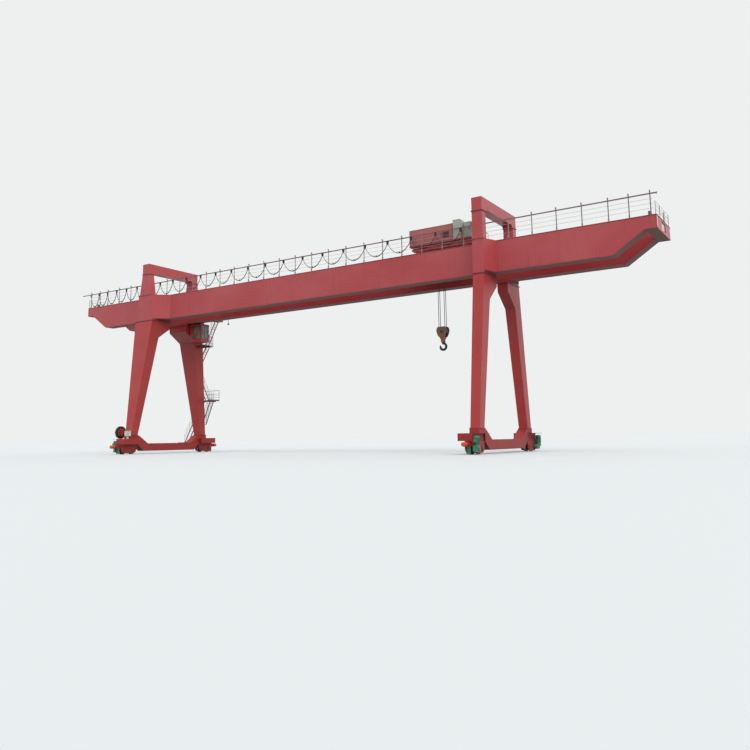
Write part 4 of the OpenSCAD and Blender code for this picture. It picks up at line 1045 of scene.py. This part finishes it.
class CRANE_OT_cab(bpy.types.Operator):
    """Window seals, bars, wiper, roof gutter, seat and desk of the operator's cab"""

    bl_idname = "crane.cab"
    bl_label = "Cab fittings"

    def execute(self, context):
        z0, z1 = CAB_Z0 + 0.15, CAB_Z1 - 0.08
        seals = Shape()
        bars = Shape()
        for low, high, axis in (((CAB_X0 + 0.28, CAB_Y0, z0), (CAB_X1 - 0.06, CAB_Y0, z1), 1),
                                ((CAB_X1, CAB_Y0 + 0.06, z0), (CAB_X1, CAB_Y1 - 0.06, z1), 0),
                                ((CAB_X0 + 0.4, CAB_Y1, z0), (CAB_X1 - 0.06, CAB_Y1, z1), 1)):
            seals.join(rim_of(low, high, axis))
            low, high = np.array(low), np.array(high)
            across, wall = np.eye(3)[1 - axis], np.eye(3)[axis]
            middle = (low + high) / 2 * across
            bars.join(block(low * (1 - across) + middle - 0.012 * wall - 0.01 * across,
                            high * (1 - across) + middle + 0.012 * wall + 0.01 * across, 0.004))
            a, b = (low - 0.014 * wall)[:2], (high + 0.014 * wall)[:2]
            for z in (z0 - 0.018, z1 + 0.002):
                bars.join(block((*a, z), (*b, z + 0.016), 0.004))
        x0, x1, y0, y1 = CAB_X0 - 0.012, CAB_X1 + 0.012, CAB_Y0 - 0.012, CAB_Y1 + 0.012
        for z in (CAB_Z1 - 0.005, CAB_Z0 + 0.02):
            for a, b in (((x0, y0), (x1, y0 + 0.016)), ((x0, y1 - 0.016), (x1, y1)),
                         ((x1 - 0.016, y0), (x1, y1)), ((x0, y0), (x0 + 0.016, y1))):
                bars.join(block((*a, z - 0.012), (*b, z + 0.01), 0.003))
        bars.join(block((CAB_X0 + 0.074, CAB_Y1 - 0.014, CAB_Z0 + 0.045),
                        (CAB_X0 + 0.346, CAB_Y1 + 0.006, CAB_Z1 - 0.09), 0.004))
        x, out = CAB_X0 + 0.31, CAB_Y1 + 0.03
        grip = [(x, CAB_Y1, 5.95), (x, out, 5.95), (x, out, 6.11), (x, CAB_Y1, 6.11)]
        bars.join(bent_tube(grip, 0.006, bend=0.012, up=(1, 0, 0)))
        x = CAB_X0 + 0.36
        seals.join(tube((x, CAB_Y0 - 0.012, z0 - 0.01), (x + 0.12, CAB_Y0 - 0.014, z0 + 0.3), 0.004, 8))
        piece("cab_window_seals", seals, "seal")
        piece("cab_window_bars", bars, "red_enamel")
        floor = CAB_Z0 + 0.03
        seat = merged(block((-8.36, 0.93, floor + 0.21), (-8.08, 1.19, floor + 0.28), 0.02),
                      block((-8.40, 0.93, floor + 0.26), (-8.34, 1.19, floor + 0.61), 0.02),
                      block((-8.27, 1.01, floor), (-8.17, 1.11, floor + 0.21), 0.01))
        piece("cab_seat", seat, "seat_vinyl", bevel=0.01)
        knob = lathe([(0, 0.001), (0, 0.013), (0.02, 0.015), (0.026, 0.001)], (0, 0, 0), (0, 0, 1), 16)
        desk = Shape()
        for front, lever in ((0.82, 0.865), (1.21, 1.255)):
            desk.join(block((-8.32, front, floor), (-8.1, front + 0.09, floor + 0.35), 0.008),
                      tube((-8.18, lever, floor + 0.35), (-8.18, lever, floor + 0.43), 0.006))
            desk.stamp(knob, (-8.18, lever, floor + 0.425))
        piece("cab_desk", desk, "grey_enamel")
        return {"FINISHED"}


def flight_rail(a, b, posts, height=0.42, radius=0.007):
    """Handrail of one flight: a rail, a knee rail and posts over the line from a to b."""
    a = np.array(a, float)
    b = np.array(b, float)
    rise = np.array([0, 0, height])
    bars = [(a + rise * k, b + rise * k) for k in (0.5, 1.0)]
    bars += [(p, p + rise) for p in np.linspace(a, b, posts)]
    return merged(*[tube(p, q, radius, 10) for p, q in bars])


class CRANE_OT_stairs(bpy.types.Operator):
    """Handrails, kick plates and brackets of the stairs on the far rigid leg"""

    bl_idname = "crane.stairs"
    bl_label = "Stair rails"

    def execute(self, context):
        # From and to, X counted from the leg's middle, and the number of posts
        flights = [((-0.12, 2.764, 1.44), (0.4, 2.764, 2.655), 4),
                   ((-0.12, 2.506, 1.44), (0.4, 2.506, 2.655), 4),
                   ((0.47, 2.434, 2.675), (-0.32, 2.434, 4.1), 5),
                   ((-0.41, 2.324, 4.12), (0.47, 2.324, 5.48), 5),
                   ((0.69, 2.034, 5.5), (1.365, 2.034, 6.7), 4),
                   ((0.69, 1.796, 5.5), (1.365, 1.796, 6.7), 4),
                   ((-0.546, 1.675, 0.51), (-0.546, 2.175, 1.42), 4)]
        edges = [((-0.572, 2.76, 1.44), (-0.07, 2.76, 1.44), 3),
                 ((-0.572, 2.2, 1.44), (-0.572, 2.76, 1.44), 3),
                 ((0.69, 2.12, 2.675), (0.69, 2.9, 2.675), 3),
                 ((-0.49, 2.12, 2.675), (-0.49, 2.9, 2.675), 3),
                 ((-0.75, 2.0, 4.12), (-0.75, 2.6, 4.12), 3), ((-0.75, 2.61, 4.12), (-0.33, 2.61, 4.12), 2)]
        plates = [((-0.5, 2.915, 2.675), (0.7, 2.921, 2.72)), ((0.694, 2.1, 2.675), (0.7, 2.92, 2.72)),
                  ((-0.76, 1.99, 4.12), (-0.754, 2.62, 4.165)), ((1.739, 1.04, 6.72), (1.745, 2.045, 6.765))]
        leg = (RIGID_X, 0, 0)
        rails = Shape()
        for a, b, posts in flights:
            rails.stamp(flight_rail(a, b, posts), leg)
        for a, b, posts in edges:
            rails.stamp(flight_rail(a, b, posts, 0.54), leg)
        kick = Shape()
        for a, b in plates:
            kick.stamp(block(a, b, 0.001), leg)
        bracket = block((-0.012, 1.8, 2.605), (0.012, 2.9, 2.655), 0.003)
        kick.stamp(bracket, spots((RIGID_X - 0.3, RIGID_X + 0.45), 0, 0))
        piece("stair_handrails", rails, "tube_steel")
        piece("stair_kick_plates", kick, "brown_enamel", smooth=0)
        return {"FINISHED"}


class CRANE_OT_cable_reel(bpy.types.Operator):
    """Cable reel with a spoked red centre and the cable wound to its rim, and its bearing"""

    bl_idname = "crane.cable_reel"
    bl_label = "Cable reel"

    def execute(self, context):
        low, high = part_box("cable_reel")
        centre = np.array((low + high) / 2)
        half = (high.x - low.x) / 2
        radius = (high.z - low.z) / 2
        hub = Shape()
        spokes = Shape()
        bolts = Shape()
        spoke = block((0.05, -0.011, -0.005), (radius - 0.012, 0.011, 0.005), 0.002)
        z_to_x = np.array([[0, 0, 1], [1, 0, 0], [0, 1, 0]])
        disc = [(-0.003, 0.041), (-0.003, 0.19), (0.003, 0.19), (0.004, 0.186), (0.001, 0.16), (0.001, 0.1),
                (0.012, 0.08), (0.012, 0.041)]
        for d in (-1, 1):
            face = centre + (d * (half - 0.006), 0, 0)
            hub.join(lathe(disc, face - (d * 0.004, 0, 0), (d, 0, 0), 40))
            spokes.stamp(spoke, face, z_to_x @ round_turns(8))
            spokes.join(hoop(face, radius - 0.008, 0.008, 48))
            bolts.join(bolt_ring(face + (d * 0.003, 0, 0), (d, 0, 0), 0.13, 8, 0.007, 0.2))
        end = half - 0.01
        hub.join(lathe([(-end, 0.0402), (-end, 0.14), (end, 0.14), (end, 0.0402)], centre, (1, 0, 0), 40))
        rows = 4
        pitch = (2 * half - 0.03) / rows
        coil = [hoop(centre + (pitch * (k + 0.5) + 0.015 - half, 0, 0), r, 0.0128, 56)
                for r in (0.2, 0.225, 0.25, 0.272) for k in range(rows)]
        piece("reel_hub", hub, "red_enamel", "cable_reel", replaces=["cable_reel"])
        piece("reel_spokes", spokes, "dark_steel", "cable_reel")
        piece("reel_bolts", bolts, "bolt_steel", "cable_reel", smooth=0)
        piece("reel_cable", merged(*coil), "cable_sheath", "cable_reel")
        cup = [(0, 0.04), (0, 0.075), (0.05, 0.075), (0.06, 0.068), (0.06, 0.04)]
        piece("reel_bearing", lathe(cup, (high.x + 0.012, *centre[1:]), (1, 0, 0), 32), "shaded_truck_enamel")
        return {"FINISHED"}


class CRANE_OT_control_box(bpy.types.Operator):
    """Door, hinges, handle and cable glands of the control box"""

    bl_idname = "crane.control_box"
    bl_label = "Control box"

    def execute(self, context):
        (x0, y, _), (x1, back, z1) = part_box("control_box")
        z0 = 0.845
        mid = (z0 + z1) / 2
        lip = 0.012
        door = merged(block((x0 + lip, y - 0.008, z0 + lip), (x1 - lip, y + 0.002, z1 - lip), 0.003),
                      block((x0 - lip, y - 0.016, z1 - 0.002), (x1 + lip, back + lip, z1 + 0.008), 0.003))
        trim = block((x1 - 0.04, y - 0.02, mid - 0.03), (x1 - 0.028, y - 0.006, mid + 0.03), 0.003)
        hinge = tube((0, 0, -0.018), (0, 0, 0.018), 0.006, 10)
        trim.stamp(hinge, spots(x0 + 0.014, y - 0.012, (z0 + 0.05, z1 - 0.05)))
        gland = lathe([(0, 0.001), (0, 0.011), (0.02, 0.011), (0.02, 0.001)], (0, 0, 0), (0, 0, 1), 12)
        trim.stamp(gland, spots(x0 + np.array([0.17, 0.22, 0.27]), (y + back) / 2 + 0.055, z0 - 0.02))
        piece("control_box_door", door, "pale_enamel")
        piece("control_box_trim", trim, "bolt_steel")
        return {"FINISHED"}


class CRANE_OT_housing(bpy.types.Operator):
    """Panel joints, roof ribs, lifting eyes, louvres and screws of the hoist housing"""

    bl_idname = "crane.housing"
    bl_label = "Hoist housing"

    def execute(self, context):
        x0, x1 = 5.482, 7.402
        y0, y1 = -0.76, 0.5
        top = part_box("hoist_housing")[1].z
        under_lid = top - 0.012
        tall = under_lid - DECK_TOP
        joints = x0 + np.array([0.02, 0.63, 1.27, 1.9])
        panels = block((x0 - 0.01, y0 - 0.01, DECK_TOP), (x1 + 0.01, y1 + 0.01, DECK_TOP + 0.03), 0.003)
        side_strip = block((-0.016, -0.008, 0), (0.016, 0.008, tall), 0.003)
        end_strip = block((-0.008, -0.016, 0), (0.008, 0.016, tall), 0.003)
        panels.stamp(side_strip, spots(joints, (y0, y1), DECK_TOP))
        panels.stamp(end_strip, spots((x0, x1), np.linspace(y0 + 0.02, y1 - 0.02, 3), DECK_TOP))
        roof_rib = block((-0.01, y0 - 0.01, top - 0.002), (0.01, y1 + 0.01, top + 0.01), 0.003)
        panels.stamp(roof_rib, spots(np.linspace(x0 + 0.16, x1 - 0.16, 6), 0, 0))
        eye = bent_tube([(-0.03, 0, 0), (-0.03, 0, 0.05), (0.03, 0, 0.05), (0.03, 0, 0)], 0.007, 10, 0.022,
                        up=(0, 1, 0))
        panels.stamp(eye, spots((x0 + 0.1, x1 - 0.1), (y0 + 0.12, y1 - 0.12), top))
        piece("housing_panels", panels, "housing_enamel", "trolley")
        vent = merged(block((6.9, y0 - 0.016, 0), (7.24, y0 + 0.004, 0.012), 0.003),
                      block((5.75, y1 - 0.004, 0), (6.25, y1 + 0.016, 0.012), 0.003))
        vents = Shape().stamp(vent, spots(0, 0, np.linspace(8.3, 8.5, 8)))
        piece("housing_louvres", vents, "joint_enamel", "trolley")
        screws = Shape()
        for y, d in ((y0, -1), (y1, 1)):
            places = spots(joints, y + d * 0.008, np.linspace(DECK_TOP + 0.06, under_lid - 0.03, 6))
            screws.stamp(hex_bolt(0.005), places, facing((0, d, 0)))
        piece("housing_screws", screws, "bolt_steel", "trolley", smooth=0)
        return {"FINISHED"}


class CRANE_OT_trolley(bpy.types.Operator):
    """Cabinet doors, tow clamp, kick plates, wheel hubs, buffers and deck rail of the trolley"""

    bl_idname = "crane.trolley"
    bl_label = "Trolley fittings"

    def execute(self, context):
        doors = Shape()
        fittings = Shape()
        for a, b, high in ((7.48, 7.865, 8.71), (7.943, 8.192, 8.69)):
            doors.join(block((a, -0.858, DECK_TOP + 0.03), (b, -0.848, high), 0.003))
            doors.stamp(block((a + 0.05, -0.864, 0), (b - 0.05, -0.855, 0.012), 0.002),
                        spots(0, 0, np.linspace(8.19, 8.29, 4)))
            hinge = tube((a + 0.008, -0.86, -0.02), (a + 0.008, -0.86, 0.02), 0.006, 10)
            fittings.stamp(hinge, spots(0, 0, (8.22, high - 0.09)))
            fittings.join(block((b - 0.04, -0.872, 8.42), (b - 0.026, -0.856, 8.5), 0.003))
        for a, b in (((7.45, -0.86, 8.878), (7.77, -0.44, 8.888)),
                     ((7.918, -0.857, 8.713), (8.217, -0.293, 8.723))):
            doors.join(block(a, b, 0.003))
        piece("cabinet_doors", doors, "grey_enamel", "trolley")
        piece("cabinet_fittings", fittings, "dark_steel", "trolley")
        clamp = merged(block((7.797, -0.984, 8.372), (7.877, -0.938, 8.384), 0.003),
                       blocks([(7.803, -0.954, 8.384), (7.833, -0.948, 8.33)],
                              [(7.871, -0.948, 8.436), (7.841, -0.89, 8.384)]))
        clamp.stamp(hex_bolt(0.007), spots((7.815, 7.859), -0.948, 8.41), facing((0, 1, 0)))
        piece("cable_tow_clamp", clamp, "brown_enamel", "trolley", smooth=0)
        trim = Shape()
        pads = Shape()
        hub = [(0.03, 0.02), (0.03, 0.05), (0.045, 0.05), (0.05, 0.045), (0.05, 0.001), (0.03, 0.001)]
        pad = [(0, 0.001), (0, 0.045), (0.02, 0.045), (0.03, 0.036), (0.085, 0.04), (0.095, 0.03),
               (0.095, 0.001)]
        for s in (-1, 1):
            trim.join(block((5.562, s * 0.856 - 0.004, DECK_TOP - 0.002),
                            (8.22, s * 0.856 + 0.004, DECK_TOP + 0.045), 0.002))
            for d in (-1, 1):
                for x in (5.82, 7.872):
                    trim.join(lathe(hub, (x, s * RAIL_Y, GIRDER_TOP + 0.17), (0, d, 0), 20))
                pads.join(lathe(pad, (6.891 + d * 1.271, s * RAIL_Y, 8.0), (d, 0, 0), 24))
        piece("trolley_kick_plates", trim, "brown_enamel", "trolley", slot="steel_dark")
        piece("trolley_buffers", pads, "seal", "trolley")
        rails = Shape()
        post = tube((0, 0, 0), (0, 0, 0.52), 0.009, 10)
        feet = ((7.43, 0.84), (7.8, 0.84), (8.18, 0.84), (8.18, 0.42), (8.18, 0.0))
        rails.stamp(post, [(x, y, DECK_TOP) for x, y in feet])
        for z in (DECK_TOP + 0.27, DECK_TOP + 0.52):
            rails.join(bent_tube([(7.43, 0.84, z), (8.18, 0.84, z), (8.18, 0.0, z)], 0.009, 10, 0.04))
        piece("trolley_deck_rail", rails, "tube_steel", "trolley")
        return {"FINISHED"}


class CRANE_OT_hook_block(bpy.types.Operator):
    """Pin covers, side guards and bolts of the hook block, and the collar of the hook"""

    bl_idname = "crane.hook_block"
    bl_label = "Hook block"

    def execute(self, context):
        top = BLOCK_HIGH
        covers = Shape()
        bolts = Shape()
        disc = [(-0.002, 0.001), (-0.002, 0.064), (0.008, 0.064), (0.012, 0.056), (0.02, 0.034),
                (0.02, 0.001)]
        cheek = [(d * x, top + z) for d in (-1, 1) for x, z in ((0.14, -0.05), (0.17, -0.24), (0.1, -0.37))]
        for s in (-1, 1):
            covers.join(lathe(disc, (HOOK_X, s * 0.13, top - 0.19), (0, s, 0), 28),
                        block((HOOK_X + s * 0.188, -0.11, top - 0.25),
                              (HOOK_X + s * 0.196, 0.11, top - 0.1), 0.002))
            bolts.join(bolt_ring((HOOK_X, s * 0.139, top - 0.19), (0, s, 0), 0.05, 5, 0.005, 0.1))
            bolts.stamp(hex_bolt(0.009), [(HOOK_X + x, s * 0.1305, z) for x, z in cheek], facing((0, s, 0)))
        piece("block_pin_covers", covers, "dark_steel", "hook_block")
        piece("block_bolts", bolts, "bolt_steel", "hook_block", smooth=0)
        collar = lathe([(0, 0.04), (0, 0.066), (0.012, 0.07), (0.016, 0.066), (0.016, 0.04)],
                       (HOOK_X, 0, BLOCK_LOW - 0.019), (0, 0, 1), 32)
        piece("hook_collar", collar, "forged_steel", "hook")
        return {"FINISHED"}


class CRANE_OT_lamp(bpy.types.Operator):
    """Yard lamp under the far girder"""

    bl_idname = "crane.lamp"
    bl_label = "Yard lamp"

    def execute(self, context):
        x, y, z = -5.855, 0.8, 6.27
        bell = [(0.0, 0.054), (0.003, 0.057), (0.018, 0.052), (0.042, 0.032), (0.06, 0.02), (0.08, 0.016),
                (0.08, 0.001), (0.02, 0.001), (0.014, 0.042), (0.0, 0.052)]
        base, top = 0.04, GIRDER_BOTTOM
        lamp = merged(tube((x, y, z + 0.06), (x, y, top), 0.009), lathe(bell, (x, y, z), (0, 0, 1), 32),
                      block((x - base, y - base, top - 0.01), (x + base, y + base, top), 0.003))
        piece("yard_lamp", lamp, "dark_steel")
        bulb = [(0.0, 0.001), (0.004, 0.015), (0.018, 0.022), (0.036, 0.012), (0.036, 0.001)]
        piece("yard_lamp_bulb", lathe(bulb, (x, y, z + 0.002), (0, 0, 1), 20), "lamp_glass")
        return {"FINISHED"}


class CRANE_OT_stage(bpy.types.Operator):
    """Floor, soft light and the camera"""

    bl_idname = "crane.stage"
    bl_label = "Stage"

    def execute(self, context):
        scene = context.scene
        scene.view_settings.view_transform = "Standard"
        size, low = 400.0, -0.004
        floor = Shape().add([(-size, -size, low), (size, -size, low), (size, size, low), (-size, size, low)],
                            [np.array([[0, 1, 2, 3]])])
        piece("floor", floor, "floor", ride=False, smooth=0)
        world = bpy.data.worlds.new("studio")
        scene.world = world
        world.use_nodes = True
        tree = world.node_tree
        light = tree.nodes["Background"]
        plug(tree, light, {"Color": rgba("#f2f5f8"), "Strength": 1.12})
        sky = put(tree, "Background", {"Color": rgba("#eef0f0"), "Strength": 1.0})
        mix = put(tree, "MixShader", (seen_by(tree, ("Camera", "Transmission")), light.outputs[0], sky))
        tree.links.new(mix, tree.nodes["World Output"].inputs["Surface"])
        sun = bpy.data.lights.new("overcast_sun", "SUN")
        sun.energy = 1.6
        sun.angle = math.radians(50)
        sun.color = (1.0, 0.985, 0.96)
        lamp = bpy.data.objects.new("overcast_sun", sun)
        lamp.rotation_euler = Vector((0.75, -0.6, 0.95)).to_track_quat("Z", "Y").to_euler()
        scene.collection.objects.link(lamp)
        # Camera of the photograph: yaw, pitch and roll in radians, focal length and shift in pixels
        yaw, pitch, roll = 0.5803, 0.1441, -0.0137
        pixels, focal, shift_x, shift_y = 750, 744.52, 10.0, -44.9
        level = math.cos(pitch)
        ahead = np.array([-math.sin(yaw) * level, math.cos(yaw) * level, math.sin(pitch)])
        right = np.array([math.cos(yaw), math.sin(yaw), 0])
        up = np.cross(right, ahead)
        across = right * math.cos(roll) + up * math.sin(roll)
        upward = -right * math.sin(roll) + up * math.cos(roll)
        turn = Matrix([list(v) for v in np.stack([across, upward, -ahead], 1)]).to_4x4()
        data = bpy.data.cameras.new("camera")
        data.sensor_width = 36
        data.lens = focal / pixels * 36
        data.shift_x = shift_x / pixels
        data.shift_y = shift_y / pixels
        data.clip_end = 1500
        cam = bpy.data.objects.new("camera", data)
        cam.matrix_world = Matrix.Translation((19.870, -26.055, 0.596)) @ turn
        scene.collection.objects.link(cam)
        scene.camera = cam
        return {"FINISHED"}


OPERATORS = (CRANE_OT_finishes, CRANE_OT_handrails, CRANE_OT_festoon, CRANE_OT_ropes, CRANE_OT_girder_trim,
             CRANE_OT_flange_bolts, CRANE_OT_trucks, CRANE_OT_drives, CRANE_OT_cab, CRANE_OT_stairs,
             CRANE_OT_cable_reel, CRANE_OT_control_box, CRANE_OT_housing, CRANE_OT_trolley,
             CRANE_OT_hook_block, CRANE_OT_lamp, CRANE_OT_stage)


class CRANE_PT_panel(bpy.types.Panel):
    """Sizes, colours and pieces of the crane"""

    bl_idname = "CRANE_PT_panel"
    bl_label = "Gantry crane"
    bl_space_type = "VIEW_3D"
    bl_region_type = "UI"
    bl_category = "Crane"

    def draw(self, context):
        for group in (context.scene.crane_sizes, context.scene.crane_colours):
            for key in group.__annotations__:
                self.layout.prop(group, key)
        for operator in OPERATORS:
            self.layout.operator(operator.bl_idname)


CLASSES = (CraneSizes, CraneColours, *OPERATORS, CRANE_PT_panel)


def register():
    """Registers the classes and hangs the sizes and colours on the scene."""
    for c in CLASSES:
        bpy.utils.register_class(c)
    bpy.types.Scene.crane_sizes = PointerProperty(type=CraneSizes)
    bpy.types.Scene.crane_colours = PointerProperty(type=CraneColours)


def unregister():
    """Takes them off again."""
    del bpy.types.Scene.crane_colours
    del bpy.types.Scene.crane_sizes
    for c in reversed(CLASSES):
        bpy.utils.unregister_class(c)


def main():
    """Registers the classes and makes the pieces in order."""
    register()
    for operator in OPERATORS:
        getattr(bpy.ops.crane, operator.bl_idname.removeprefix("crane."))()
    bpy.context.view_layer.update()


if __name__ == "__main__":
    main()
